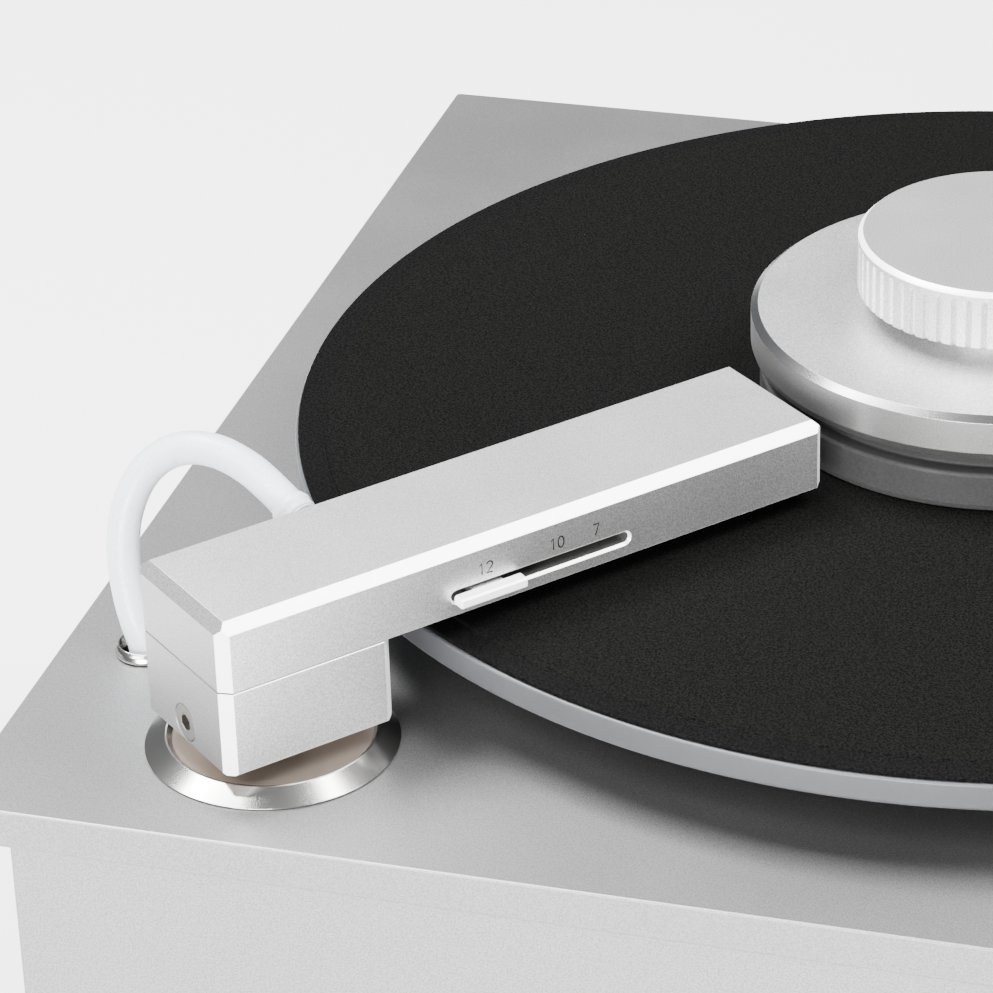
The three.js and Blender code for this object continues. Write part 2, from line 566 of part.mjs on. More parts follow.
function addSuctionSlit() {
  const side = CHAMBER.half - GAP;
  const base = cut(
    box(BASE.x0, CHAMBER.x1 - GAP, -side, side, BEAM.z0, BASE.top),
    box(BASE.slitX0, BASE.slitX1, -BASE.slitHalf, BASE.slitHalf, BEAM.z0 - CUT, BASE.top + CUT),
  );
  node('beam_base', base, satin, arm);
  const lip = (y0, y1) => alongZ(roundedRect(LIP.x0, LIP.x1, y0, y1, 1.2), LIP.bottom, BEAM.z0 - 0.1);
  node('felt_lip_front', lip(-LIP.y1, -LIP.y0), feltBlack, arm);
  node('felt_lip_rear', lip(LIP.y0, LIP.y1), feltBlack, arm);
  addSlider();
}

function addSlider() {

  const [neckLow, neckHigh] = [SLOT.z0 + SLOT.flare + 0.15, SLOT.z1 - SLOT.flare - 0.15];
  const middle = (TAB.x0 + TAB.x1) / 2;
  const head = chamferedBar(
    { x0: TAB.x0, x1: TAB.x1, half: (-BEAM.half - GAP - TAB.front) / 2, z0: TAB.z0, z1: TAB.z1 },
    TAB.edge, TAB.edge, TAB.edge,
  ).translate(0, (TAB.front - BEAM.half - GAP) / 2, 0);
  const neck = box(middle - 3.5, middle + 3.5, -BEAM.half - 2, -CHAMBER.half + 3, neckLow, neckHigh);
  const foot = box(middle - 5, middle + 5, -CHAMBER.half + GAP + 0.7, -CHAMBER.half + 4, BASE.top + 0.2, 31);
  node('size_slider', join(head, neck, foot), polished, arm);

  const [s, low] = [SHUTTER, BASE.top + 0.2];
  const shutter = box(middle - s.before, middle + s.after, -CHAMBER.half + 4 + GAP, s.y1, low, low + s.thick);
  node('slot_shutter', shutter, blackPlastic, arm);
}

function addHoses() {
  node('suction_hose', tube(HOSE_ROUTE, HOSE.r, HOSE.sides, HOSE.steps), clearHose, arm);
  const port = turned([
    [PORT.bore, PORT.bottom], [PORT.tube, PORT.bottom], [PORT.tube, 0.1], [PORT.r - 0.4, 0.1],
    [PORT.r, 0.8], [PORT.r - 0.3, PORT.high - 0.6], [PORT.r - 1, PORT.high],
    [PORT.bore + 0.5, PORT.high], [PORT.bore, PORT.high - 0.6],
  ], 24);
  node('hose_port', port.translate(PORT.x, PORT.y, 0), polished, arm);
  node('tank_hose', tube(TANK_HOSE_ROUTE, HOSE.r, 8, 28), clearHose);
  node('air_duct', tube(AIR_DUCT_ROUTE, LID.duct, 10, 20), blackPlastic);
}

// ---------------------------------------------------------------- vacuum and waste
function addTank() {
  const t = TANK;
  const outer = alongZ(roundedRect(t.x0, t.x1, t.y0, t.y1, t.corner), t.z0, t.z1);
  const inner = roundedRect(t.x0 + t.wall, t.x1 - t.wall, t.y0 + t.wall, t.y1 - t.wall, t.corner - t.wall);
  node('waste_tank', cut(outer, alongZ(inner, t.z0 + t.wall, t.z1 + CUT)), tankPlastic);

  const lidLow = t.z1 + GAP;
  const spigot = (r, x) => disc(r, lidLow, lidLow + LID.high, 24).translate(x, LID.y, 0);
  const passage = (r, x) => disc(r, lidLow - CUT, lidLow + LID.high + CUT, 16).translate(x, LID.y, 0);
  const lid = join(
    alongZ(roundedRect(t.x0, t.x1, t.y0, t.y1, t.corner), lidLow, lidLow + LID.thick),
    spigot(LID.spigot, LID.inletX), spigot(LID.duct + 2, LID.outletX),
  );
  const drilled = cut(lid, passage(LID.spigot - 2, LID.inletX), passage(LID.duct - 0.5, LID.outletX));
  node('tank_lid', drilled, blackPlastic);
}

function addBlower() {
  const b = BLOWER;
  const [m, top] = [BLOWER_MOTOR, b.z0 - GAP];
  const can = turned([
    [0, m.z0], [m.r - m.edge, m.z0], [m.r, m.z0 + m.edge], [m.r, top - m.edge], [m.r - m.edge, top], [0, top],
  ]);
  node('blower_motor', can.translate(b.x, b.y, 0), blackPlastic);

  const outlet = box(b.x - 6, b.x + 36, b.y + 40, b.outletY, b.z0 + 2, b.z1 - 2);
  const passage = box(b.x - 3, b.x + 33, b.y + 30, b.outletY + CUT, b.z0 + 5, b.z1 - 5);
  const eyeTop = b.z1 + b.eyeHigh;
  const eye = disc(b.eye, b.z1 - CUT, eyeTop, 24);
  const drum = join(join(disc(b.r, b.z0, b.z1, 32), eye).translate(b.x, b.y, 0), outlet);
  const inside = disc(b.r - b.wall, b.z0 + b.wall, b.z1 - b.wall, 32).translate(b.x, b.y, 0);
  const throat = disc(b.eye - 3, b.z1 - b.wall - CUT, eyeTop + CUT, 24).translate(b.x, b.y, 0);
  node('blower_housing', cut(drum, inside, passage, throat), darkPaint);

  const w = IMPELLER;
  const [low, high] = [b.z0 + b.wall + 2, b.z1 - b.wall - 4];
  const blades = [];
  for (let i = 0; i < w.blades; i++) {
    const blade = box(w.eye, w.r - 1, -w.thick / 2, w.thick / 2, low + 1, high);
    blades.push(blade.rotateZ((2 * Math.PI * i) / w.blades));
  }
  const wheel = join(disc(w.r, low, low + w.plate, 36), disc(w.boss, low, high), ...blades);
  node('impeller', wheel.translate(b.x, b.y, 0), satin);
}

function addDrain() {
  const d = DRAIN;
  const inside = CASE.out - 10;
  const body = join(
    box(d.x - d.half, d.x + d.half, TANK.y1 + 4, CASE.out - CASE.wall - GAP, d.z0, d.z1),
    rodY(d.nozzle, inside, d.reach, d.x, d.z),
    rodY(STEM.r, inside, CASE.out + 1, d.x, STEM.z),
  );
  node('drain_valve', cut(body, rodY(d.bore, 145, d.reach + CUT, d.x, d.z)), brass);
  const y0 = CASE.out + 1 + GAP;
  const bar = roundedRect(d.x - 3, d.x + STEM.lever, STEM.z - 3, STEM.z + 3, 2.9);
  const lever = join(rodY(STEM.knob, y0, d.reach - 1, d.x, STEM.z), alongY(bar, y0 + 1, d.reach - 2));
  node('drain_lever', lever, satin);
}

// ---------------------------------------------------------------- electrics
function addInlet() {
  const i = INLET;
  const face = CASE.out + i.lip;
  const outline = roundedRect(i.x - i.w / 2, i.x + i.w / 2, i.z - i.h / 2, i.z + i.h / 2, 3);
  const body = box(i.x - i.body, i.x + i.body, i.back, CASE.out + 1, i.z - i.bodyHigh, i.z + i.bodyHigh);
  const shell = join(alongY(outline, CASE.out + GAP, face), body);
  const [w, h] = [i.body - 2, i.bodyHigh - 2];
  const mouth = chamferedRect(i.x - w, i.x + w, i.z - h, i.z + h, 0, 3);
  const hollow = cut(shell, alongY(mouth, i.back + 6, face + CUT));
  const pins = [-1, 0, 1].map((side) => {
    const [x, z] = [i.x + side * PIN.apart, i.z + (side === 0 ? PIN.down : -PIN.down)];
    return box(x - PIN.half, x + PIN.half, i.back + 4, face - 6.5, z - PIN.halfHigh, z + PIN.halfHigh);
  });
  node('mains_inlet', join(hollow, ...pins), blackPlastic);
}

function addPowerSwitch() {
  const [r, s] = [ROCKER, SWITCH];
  const front = CASE.out + s.lip;
  const frame = join(
    box(s.x - s.frame, s.x + s.frame, CASE.out + GAP, front, s.z - s.frameHigh, s.z + s.frameHigh),
    box(s.x - s.body, s.x + s.body, CASE.out - 22, CASE.out + 1, s.z - s.bodyHigh, s.z + s.bodyHigh),
  );
  const [w, h] = [r.half + 0.4, r.high + 1.2];
  const well = box(s.x - w, s.x + w, CASE.out - 12, front + CUT, s.z - h, s.z + h);
  node('switch_body', cut(frame, well), blackPlastic);

  const paddle = polygon([
    [-6, -3], [2.6, -r.high], [3.6, 0.4 - r.high], [1.6, 0], [3.6, r.high - 0.4], [2.6, r.high], [-6, 3],
  ]);
  const rocker = alongX(paddle, -r.half, r.half).rotateX(-r.tilt).translate(s.x, CASE.out - 1, s.z);
  node('power_rocker', rocker, blackPlastic);
}

function addButtons() {
  const b = BUTTON;
  const [low, under, high] = [deck(b.bottom), deck(-DECK.thick) - GAP, deck(b.top)];
  ['button_forward', 'button_reverse', 'button_suction'].forEach((name, n) => {
    const cap = turned([
      [0, low], [b.r + b.collar, low], [b.r + b.collar, under], [b.r, under],
      [b.r, high - b.edge], [b.r - b.edge, high], [0, high],
    ], 16);
    node(name, cap.translate(b.x[n], b.y, 0), polished);
  });
}

function addTransformer() {
  const c = COIL;
  const top = c.z + c.high;
  const coil = turned([
    [c.bore, c.z], [c.r - c.round, c.z], [c.r, c.z + c.round],
    [c.r, top - c.round], [c.r - c.round, top], [c.bore, top],
  ]);
  node('transformer', coil.translate(c.x, c.y, 0), copper);
}

function addBoard() {
  const p = BOARD;
  const top = p.z + 1;
  const capacitor = (dx, dy) => disc(5, top, p.z + 16, 16).translate(p.x0 + dx, p.y0 + dy, 0);
  const board = join(
    box(p.x0, p.x1, p.y0, p.y1, p.z, p.z + p.thick),
    box(p.x0 + 6, p.x0 + 26, p.y0 + 6, p.y0 + 24, top, p.z + 14),
    box(p.x0 + 34, p.x0 + 52, p.y0 + 8, p.y0 + 20, top, p.z + 4),
    box(p.x1 - 30, p.x1 - 6, p.y0 + 6, p.y0 + 14, top, p.z + 10),
    capacitor(66, 12), capacitor(78, 18),
  );
  node('control_board', board, boardGreen);
}

addPlinth();
addPlatter();
addDrive();
addClamp();
addArmBearing();
addArm();
addSuctionSlit();
addHoses();
addTank();
addBlower();
addDrain();
addInlet();
addPowerSwitch();
addButtons();
addTransformer();
addBoard();

export default group;
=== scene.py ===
"""Looks of a record-cleaning turntable with a vacuum arm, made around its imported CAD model.

Lengths are millimetres until a mesh is made, and metres in every Blender object. The arm's pieces are
drawn in the arm's own frame: X runs from the swing axis towards the spindle, Y to the arm's left and Z up
from the deck.
"""
import json
import math

import bmesh
import bpy
from mathutils import Matrix, Vector


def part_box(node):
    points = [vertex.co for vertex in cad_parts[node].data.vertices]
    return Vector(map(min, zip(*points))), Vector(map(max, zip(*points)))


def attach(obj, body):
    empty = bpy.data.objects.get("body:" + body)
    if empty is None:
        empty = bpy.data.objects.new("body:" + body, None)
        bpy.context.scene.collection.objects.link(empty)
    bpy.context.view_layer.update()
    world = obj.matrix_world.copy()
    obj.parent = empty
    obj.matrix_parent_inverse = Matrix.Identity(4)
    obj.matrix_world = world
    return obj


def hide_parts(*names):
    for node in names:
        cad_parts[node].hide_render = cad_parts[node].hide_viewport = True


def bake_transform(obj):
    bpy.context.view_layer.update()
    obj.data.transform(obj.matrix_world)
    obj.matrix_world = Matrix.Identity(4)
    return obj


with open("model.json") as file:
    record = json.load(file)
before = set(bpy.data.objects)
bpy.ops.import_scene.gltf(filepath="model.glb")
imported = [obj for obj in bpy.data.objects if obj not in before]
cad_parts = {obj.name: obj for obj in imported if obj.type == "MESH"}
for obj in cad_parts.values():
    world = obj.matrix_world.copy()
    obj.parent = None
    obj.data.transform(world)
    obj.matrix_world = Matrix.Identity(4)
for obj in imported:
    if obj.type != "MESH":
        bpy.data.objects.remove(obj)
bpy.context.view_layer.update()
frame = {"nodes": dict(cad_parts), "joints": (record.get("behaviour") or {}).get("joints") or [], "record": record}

MM = 0.001
JOINTS = {joint["name"]: joint for joint in frame["joints"]}
PIVOT = Vector(JOINTS["arm_swing"]["pos_m"]).xy / MM
SLIDE = JOINTS["size_slide"]["axis"]
HEADING = math.atan2(SLIDE[1], SLIDE[0])
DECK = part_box("top_plate")[1].z / MM
ARM = Matrix.Translation((PIVOT.x * MM, PIVOT.y * MM, DECK * MM)) @ Matrix.Rotation(HEADING, 4, "Z")


def box_mm(node):
    """Lowest and highest corner of a CAD node, in millimetres."""
    low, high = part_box(node)
    return low / MM, high / MM


def arm_box(node):
    """Lowest and highest corner of a CAD node in the arm's own frame, in millimetres."""
    inverse = ARM.inverted()
    points = [inverse @ vertex.co / MM for vertex in frame["nodes"][node].data.vertices]
    low = Vector([min(p[axis] for p in points) for axis in range(3)])
    high = Vector([max(p[axis] for p in points) for axis in range(3)])
    return low, high


# ---------------------------------------------------------------- camera, lights and floor
def add_camera():
    """The photo's camera, which a solve from the straight edges of the beam and the block gave."""
    place = Vector((0.12953, -0.78194, 0.62880))
    right = Vector((0.9605, 0.2769, -0.0292)).normalized()
    forward = Vector((-0.2555, 0.8348, -0.4877)).normalized()
    sensor, lens = 36.0, 155.23
    up = right.cross(forward).normalized()
    right = forward.cross(up)
    data = bpy.data.cameras.new("camera")
    data.sensor_width = sensor
    data.lens = lens
    camera = bpy.data.objects.new("camera", data)
    turn = Matrix((right, up, -forward)).transposed().to_4x4()
    camera.matrix_world = Matrix.Translation(place) @ turn
    bpy.context.scene.collection.objects.link(camera)
    bpy.context.scene.camera = camera


def softbox(name, azimuth, elevation, distance, size, brightness, colour=(1.0, 1.0, 1.0)):
    """A rectangular light aimed at the case, whose brightness is the irradiance that it gives there."""
    aim = Vector((0, 0, 0.15))
    azimuth, elevation = math.radians(azimuth), math.radians(elevation)
    level = math.cos(elevation)
    way = Vector((level * math.cos(azimuth), level * math.sin(azimuth), math.sin(elevation)))
    data = bpy.data.lights.new(name, "AREA")
    data.shape = "RECTANGLE"
    data.size, data.size_y = size
    data.energy = brightness * math.pi * distance**2
    data.color = colour
    light = bpy.data.objects.new(name, data)
    turn = way.to_track_quat("Z", "Y").to_matrix().to_4x4()
    light.matrix_world = Matrix.Translation(aim + way * distance) @ turn
    bpy.context.scene.collection.objects.link(light)


def add_studio():
    world = bpy.data.worlds.new("studio")
    world.use_nodes = True
    background = world.node_tree.nodes["Background"]
    background.inputs["Color"].default_value = (0.93, 0.95, 0.98, 1)
    background.inputs["Strength"].default_value = 0.30
    bpy.context.scene.world = world
    softbox("key_right", 4, 58, 2.6, (1.0, 1.4), 7.5)
    softbox("left_top", 165, 63, 2.6, (1.3, 1.3), 12.0)
    softbox("front_high", -112, 44, 2.8, (1.8, 1.2), 6.0, (1.0, 0.985, 0.96))
    softbox("front_low", -92, 11, 2.8, (1.4, 0.5), 8.5, (1.0, 0.99, 0.97))
    softbox("right_low", -22, 14, 2.8, (0.9, 0.6), 0.9)

    half = 6.0
    mesh = bpy.data.meshes.new("floor")
    corners = [(-half, -half, 0), (half, -half, 0), (half, half, 0), (-half, half, 0)]
    mesh.from_pydata(corners, [], [(0, 1, 2, 3)])
    floor = bpy.data.objects.new("floor", mesh)
    bpy.context.scene.collection.objects.link(floor)
    mesh.materials.append(surface("floor_paint", (0.84, 0.84, 0.84), 0.8))


# ---------------------------------------------------------------- materials
def grain(nodes, links, coordinates, size, detail=2.0):
    """A noise texture whose features are about `size` millimetres."""
    noise = nodes.new("ShaderNodeTexNoise")
    noise.inputs["Scale"].default_value = 1 / (size * MM)
    noise.inputs["Detail"].default_value = detail
    links.new(coordinates, noise.inputs["Vector"])
    return noise.outputs["Fac"]


def ramp(nodes, links, value, low, high, start=0.35, end=0.65):
    """A value between two others, following a noise value."""
    spread = nodes.new("ShaderNodeMapRange")
    spread.inputs["From Min"].default_value = start
    spread.inputs["From Max"].default_value = end
    spread.inputs["To Min"].default_value = low
    spread.inputs["To Max"].default_value = high
    links.new(value, spread.inputs["Value"])
    return spread.outputs["Result"]


def shade(colour, factor):
    return (*[min(1.0, channel * factor) for channel in colour], 1)


def surface(name, colour, roughness, metallic=0.0, speckle=0.0, speckle_size=0.3, bump=0.0, bump_size=0.3,
            smudge=0.0, smudge_size=18.0, stretch=None, **sockets):
    """A shader with fine speckled colour, a fine bump and broad smudges in its gloss."""
    material = bpy.data.materials.new(name)
    material.use_nodes = True
    nodes, links = material.node_tree.nodes, material.node_tree.links
    shader = nodes["Principled BSDF"]
    shader.inputs["Base Color"].default_value = (*colour, 1)
    shader.inputs["Roughness"].default_value = roughness
    shader.inputs["Metallic"].default_value = metallic
    for socket, value in sockets.items():
        shader.inputs[socket.replace("_", " ")].default_value = value
    coordinates = nodes.new("ShaderNodeTexCoord").outputs["Object"]
    if stretch:
        mapping = nodes.new("ShaderNodeMapping")
        mapping.inputs["Scale"].default_value = stretch
        links.new(coordinates, mapping.inputs["Vector"])
        coordinates = mapping.outputs["Vector"]
    if speckle:
        mix = nodes.new("ShaderNodeMix")
        mix.data_type = "RGBA"
        mix.inputs["A"].default_value = shade(colour, 1 - speckle)
        mix.inputs["B"].default_value = shade(colour, 1 + speckle)
        fine = grain(nodes, links, coordinates, speckle_size)
        links.new(ramp(nodes, links, fine, 0, 1), mix.inputs["Factor"])
        links.new(mix.outputs["Result"], shader.inputs["Base Color"])
    if smudge:
        broad = grain(nodes, links, coordinates, smudge_size, 4.0)
        uneven = ramp(nodes, links, broad, roughness - smudge, roughness + smudge)
        links.new(uneven, shader.inputs["Roughness"])
    if bump:
        relief = nodes.new("ShaderNodeBump")
        relief.inputs["Strength"].default_value = 1.0
        relief.inputs["Distance"].default_value = bump * MM
        links.new(grain(nodes, links, coordinates, bump_size), relief.inputs["Height"])
        links.new(relief.outputs["Normal"], shader.inputs["Normal"])
    return material


def turned_metal(name, colour, roughness, ring_size, ring_depth, anisotropy):
    """Lathe-turned metal: fine rings about the object's own Z axis and a highlight drawn out across them."""
    material = surface(name, colour, roughness, 1.0, Anisotropic=anisotropy)
    nodes, links = material.node_tree.nodes, material.node_tree.links
    shader = nodes["Principled BSDF"]
    split = nodes.new("ShaderNodeSeparateXYZ")
    links.new(nodes["Texture Coordinate"].outputs["Object"], split.inputs[0])
    flat = nodes.new("ShaderNodeCombineXYZ")
    links.new(split.outputs["X"], flat.inputs["X"])
    links.new(split.outputs["Y"], flat.inputs["Y"])
    radius = nodes.new("ShaderNodeVectorMath")
    radius.operation = "LENGTH"
    links.new(flat.outputs[0], radius.inputs[0])
    place = nodes.new("ShaderNodeCombineXYZ")
    links.new(radius.outputs["Value"], place.inputs["X"])
    links.new(split.outputs["Z"], place.inputs["Y"])
    rings = grain(nodes, links, place.outputs[0], ring_size, 3.0)
    relief = nodes.new("ShaderNodeBump")
    relief.inputs["Strength"].default_value = 1.0
    relief.inputs["Distance"].default_value = ring_depth * MM
    links.new(rings, relief.inputs["Height"])
    links.new(relief.outputs["Normal"], shader.inputs["Normal"])
    tangent = nodes.new("ShaderNodeTangent")
    tangent.direction_type = "RADIAL"
    tangent.axis = "Z"
    links.new(tangent.outputs["Tangent"], shader.inputs["Tangent"])
    return material


LOOKS = {
    "deck_metal": surface("blasted_deck", (0.245, 0.245, 0.248), 0.46, 0.96, speckle=0.22, speckle_size=0.29,
                          bump=0.010, bump_size=0.30, smudge=0.015, smudge_size=40),
    "case_panel": surface("blasted_panel", (0.26, 0.26, 0.263), 0.48, 0.96, speckle=0.24, speckle_size=0.35,
                          bump=0.010, bump_size=0.30, smudge=0.05, smudge_size=40),
    "dark_paint": surface("powder_coat", (0.030, 0.031, 0.034), 0.55, speckle=0.2, bump=0.04, bump_size=0.8,
                          smudge=0.08),
    "steel": surface("brushed_steel", (0.45, 0.46, 0.47), 0.34, 1.0, speckle=0.12, speckle_size=0.5,
                     bump=0.006, bump_size=0.25, smudge=0.06, stretch=(1, 1, 0.06)),
    "rubber": surface("black_rubber", (0.011, 0.011, 0.012), 0.72, speckle=0.25, speckle_size=0.6,
                      bump=0.02, bump_size=0.35, smudge=0.08),
    "polished_steel": turned_metal("polished_steel", (0.44, 0.433, 0.42), 0.16, 0.22, 0.004, 0.60),
    "satin_aluminium": surface("blasted_aluminium", (0.68, 0.68, 0.683), 0.44, 1.0, speckle=0.27,
                               speckle_size=0.25, bump=0.012, bump_size=0.26, smudge=0.012, smudge_size=25),
    "frosted_acrylic": surface("frosted_acrylic", (0.048, 0.050, 0.055), 0.42, speckle=0.04, speckle_size=0.6,
                               bump=0.004, bump_size=0.4, smudge=0.06, Subsurface_Weight=0.5,
                               Subsurface_Radius=(0.004, 0.005, 0.006), Subsurface_Scale=1.0),
    "black_felt": surface("black_felt", (0.0029, 0.0029, 0.0028), 0.90, speckle=0.72, speckle_size=0.44,
                          bump=0.05, bump_size=0.34, Specular_IOR_Level=0.03),
    "black_plastic": surface("black_plastic", (0.018, 0.018, 0.020), 0.45, speckle=0.15, speckle_size=0.5,
                             bump=0.012, bump_size=0.45, smudge=0.08),
    "brass": surface("machined_brass", (0.62, 0.45, 0.20), 0.28, 1.0, speckle=0.08, bump=0.004, smudge=0.06),
    "clear_hose": surface("milky_silicone", (0.80, 0.88, 0.99), 0.28, smudge=0.05, smudge_size=6, IOR=1.41,
                          Transmission_Weight=0.3, Subsurface_Weight=0.6,
                          Subsurface_Radius=(0.0025, 0.003, 0.0035), Subsurface_Scale=1.0,
                          Sheen_Weight=0.6, Sheen_Roughness=0.25),
    "tank_plastic": surface("tank_plastic", (0.72, 0.76, 0.79), 0.4, speckle=0.05, speckle_size=2,
                            smudge=0.08),
    "copper_winding": surface("copper_winding", (0.42, 0.19, 0.07), 0.4, 0.8, speckle=0.2, bump=0.05,
                              bump_size=0.6, stretch=(1, 1, 8)),
    "circuit_board": surface("circuit_board", (0.02, 0.12, 0.055), 0.4, speckle=0.25, speckle_size=1.5,
                             bump=0.01),
}
# Polished diamond-cut edges, partly their real bright cut and partly a painted highlight: a near-white colour,
# mostly not metal, that stays bright whatever the edges face.
CUT_EDGE_PAINTED_HIGHLIGHT = surface("diamond_cut_painted_highlight", (0.96, 0.96, 0.96), 0.30, 0.15, speckle=0.04, speckle_size=0.3,
                    bump=0.002, bump_size=0.2, stretch=(0.1, 1, 1))
MAT_BAND = surface("mat_band", (0.0026, 0.0026, 0.0026), 0.85, speckle=0.7, speckle_size=0.5,
                   bump=0.03, bump_size=0.34, Specular_IOR_Level=0.03)
# The bar's ends and their slanting top edges: the same blasted aluminium in darker copies, which paint shade on
# these ends.
SHADED_END_CHAMFER = surface("end_chamfer_painted_shade", (0.40, 0.40, 0.405), 0.46, 1.0, speckle=0.34, speckle_size=0.2,
                      bump=0.012, bump_size=0.24)
SHADED_END_FACE = surface("end_face_painted_shade", (0.38, 0.38, 0.383), 0.46, 1.0, speckle=0.30, speckle_size=0.23, bump=0.012,
                   bump_size=0.26)
# The inside walls of the slot, the chamber and the screw's countersink: a dark grey that paints the shade in these
# hollows.
SHADED_SLOT_WALL = surface("slot_wall_painted_shade", (0.16, 0.16, 0.157), 0.5, 0.8, speckle=0.2, bump=0.006)
TURNED_BEVEL = surface("turned_bevel", (0.30, 0.30, 0.305), 0.22, 1.0, speckle=0.06, speckle_size=0.4)
# The dish inside the flange's rim: a light warm colour that paints a warm reflection there, though the dish lies
# in the block's shade.
DISH_PAINTED_REFLECTION = turned_metal("dish_painted_warm_reflection", (0.60, 0.51, 0.44), 0.28, 0.3, 0.004, 0.5)
DISH_PAINTED_REFLECTION.node_tree.nodes["Principled BSDF"].inputs["Metallic"].default_value = 0.85
# The clamp disc's rounded side: the disc's metal in a darker copy that paints shade on the side.
SHADED_DISC_SIDE = surface("turned_side_painted_shade", (0.48, 0.48, 0.482), 0.40, 1.0, speckle=0.2, speckle_size=0.2, bump=0.01,
                    bump_size=0.26)
# The arm shaft and lift sleeve: near-black steel that paints the shade under the arm block.
SHADED_DARK_STEEL = turned_metal("dark_steel_painted_shade", (0.045, 0.040, 0.036), 0.38, 0.22, 0.004, 0.3)
SCREW_STEEL = turned_metal("screw_steel", (0.34, 0.325, 0.305), 0.30, 0.3, 0.003, 0.4)
INK = surface("grey_ink", (0.014, 0.012, 0.010), 0.9, speckle=0.2, speckle_size=0.2, Specular_IOR_Level=0.0)


# ---------------------------------------------------------------- mesh helpers
def make(name, points, faces, *looks):
    mesh = bpy.data.meshes.new(name)
    mesh.from_pydata([Vector(p) * MM for p in points], [], faces)
    obj = bpy.data.objects.new(name, mesh)
    bpy.context.scene.collection.objects.link(obj)
    bm = bmesh.new()
    bm.from_mesh(mesh)
    bmesh.ops.recalc_face_normals(bm, faces=bm.faces)
    bm.to_mesh(mesh)
    bm.free()
    for look in looks:
        mesh.materials.append(look)
    return obj


def applied(obj):
    """The object with its modifiers made part of its mesh."""
    evaluated = obj.evaluated_get(bpy.context.evaluated_depsgraph_get())
    mesh = bpy.data.meshes.new_from_object(evaluated)
    obj.modifiers.clear()
    obj.data = mesh
    return obj


def smoothed(obj, angle=40.0):
    """Smooth shading up to an angle, with each flat face kept flat beside its rounded edges."""
    for polygon in obj.data.polygons:
        polygon.use_smooth = True
    obj.data.set_sharp_from_angle(angle=math.radians(angle))
    modifier = obj.modifiers.new("flat_faces", "WEIGHTED_NORMAL")
    modifier.keep_sharp = True
    return applied(obj)


def bevelled(obj, width, segments=3, angle=28.0):
    modifier = obj.modifiers.new("edges", "BEVEL")
    modifier.width = width * MM
    modifier.segments = segments
    modifier.limit_method = "ANGLE"
    modifier.angle_limit = math.radians(angle)
    modifier.use_clamp_overlap = True
    return applied(obj)


def less(obj, *cutters):
    """The object with the cutters taken out of it."""
    for cutter in cutters:
        modifier = obj.modifiers.new("cut", "BOOLEAN")
        modifier.operation = "DIFFERENCE"
        modifier.solver = "EXACT"
        modifier.object = cutter
        bpy.context.view_layer.update()
        applied(obj)
    for cutter in cutters:
        bpy.data.objects.remove(cutter)
    return obj


def merged(name, *objs):
    """One object holding several solids, keeping each one's materials."""
    bm = bmesh.new()
    looks = []
    for obj in objs:
        start = len(bm.faces)
        bm.from_mesh(obj.data)
        bm.faces.ensure_lookup_table()
        slots = list(obj.data.materials)
        looks += [look for look in slots if look not in looks]
        for face in bm.faces[start:]:
            face.material_index = looks.index(slots[face.material_index]) if slots else 0
        bpy.data.objects.remove(obj)
    mesh = bpy.data.meshes.new(name)
    bm.to_mesh(mesh)
    bm.free()
    for look in looks:
        mesh.materials.append(look)
    result = bpy.data.objects.new(name, mesh)
    bpy.context.scene.collection.objects.link(result)
    return result


def install(obj, body, slot, *nodes, place=None):
    """Puts a finished piece on its body, in place of its CAD nodes."""
    if place:
        obj.matrix_world = place
    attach(obj, body)
    if nodes:
        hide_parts(*nodes)
    return obj


def at(x, y, z=0.0):
    return Matrix.Translation((x * MM, y * MM, z * MM))


def fillet(corner, before, after, radius, steps):
    """Points of an arc that rounds a corner of an outline."""
    p, a, b = Vector(corner), Vector(before), Vector(after)
    u, v = (a - p).normalized(), (b - p).normalized()
    half = u.angle(v) / 2
    share = 0.48  # the most of each side that one corner may take
    reach = min(radius / math.tan(half), share * (a - p).length, share * (b - p).length)
    centre = p + (u + v).normalized() * (reach / math.cos(half))
    start, end = p + u * reach - centre, p + v * reach - centre
    sweep = start.angle(end)
    points = []
    for i in range(steps + 1):
        t = i / steps
        weight_a = math.sin((1 - t) * sweep) / math.sin(sweep)
        weight_b = math.sin(t * sweep) / math.sin(sweep)
        points.append(centre + start * weight_a + end * weight_b)
    return [(q.x, q.y) for q in points]


def rounded(outline, closed, steps=4):
    """An outline of (a, b) or (a, b, radius) points, with an arc at each corner that gives a radius."""
    result = []
    count = len(outline)
    for i, point in enumerate(outline):
        inner = closed or 0 < i < count - 1
        if len(point) == 3 and inner:
            before, after = outline[i - 1][:2], outline[(i + 1) % count][:2]
            result += fillet(point[:2], before, after, point[2], steps)
        else:
            result.append(point[:2])
    return result


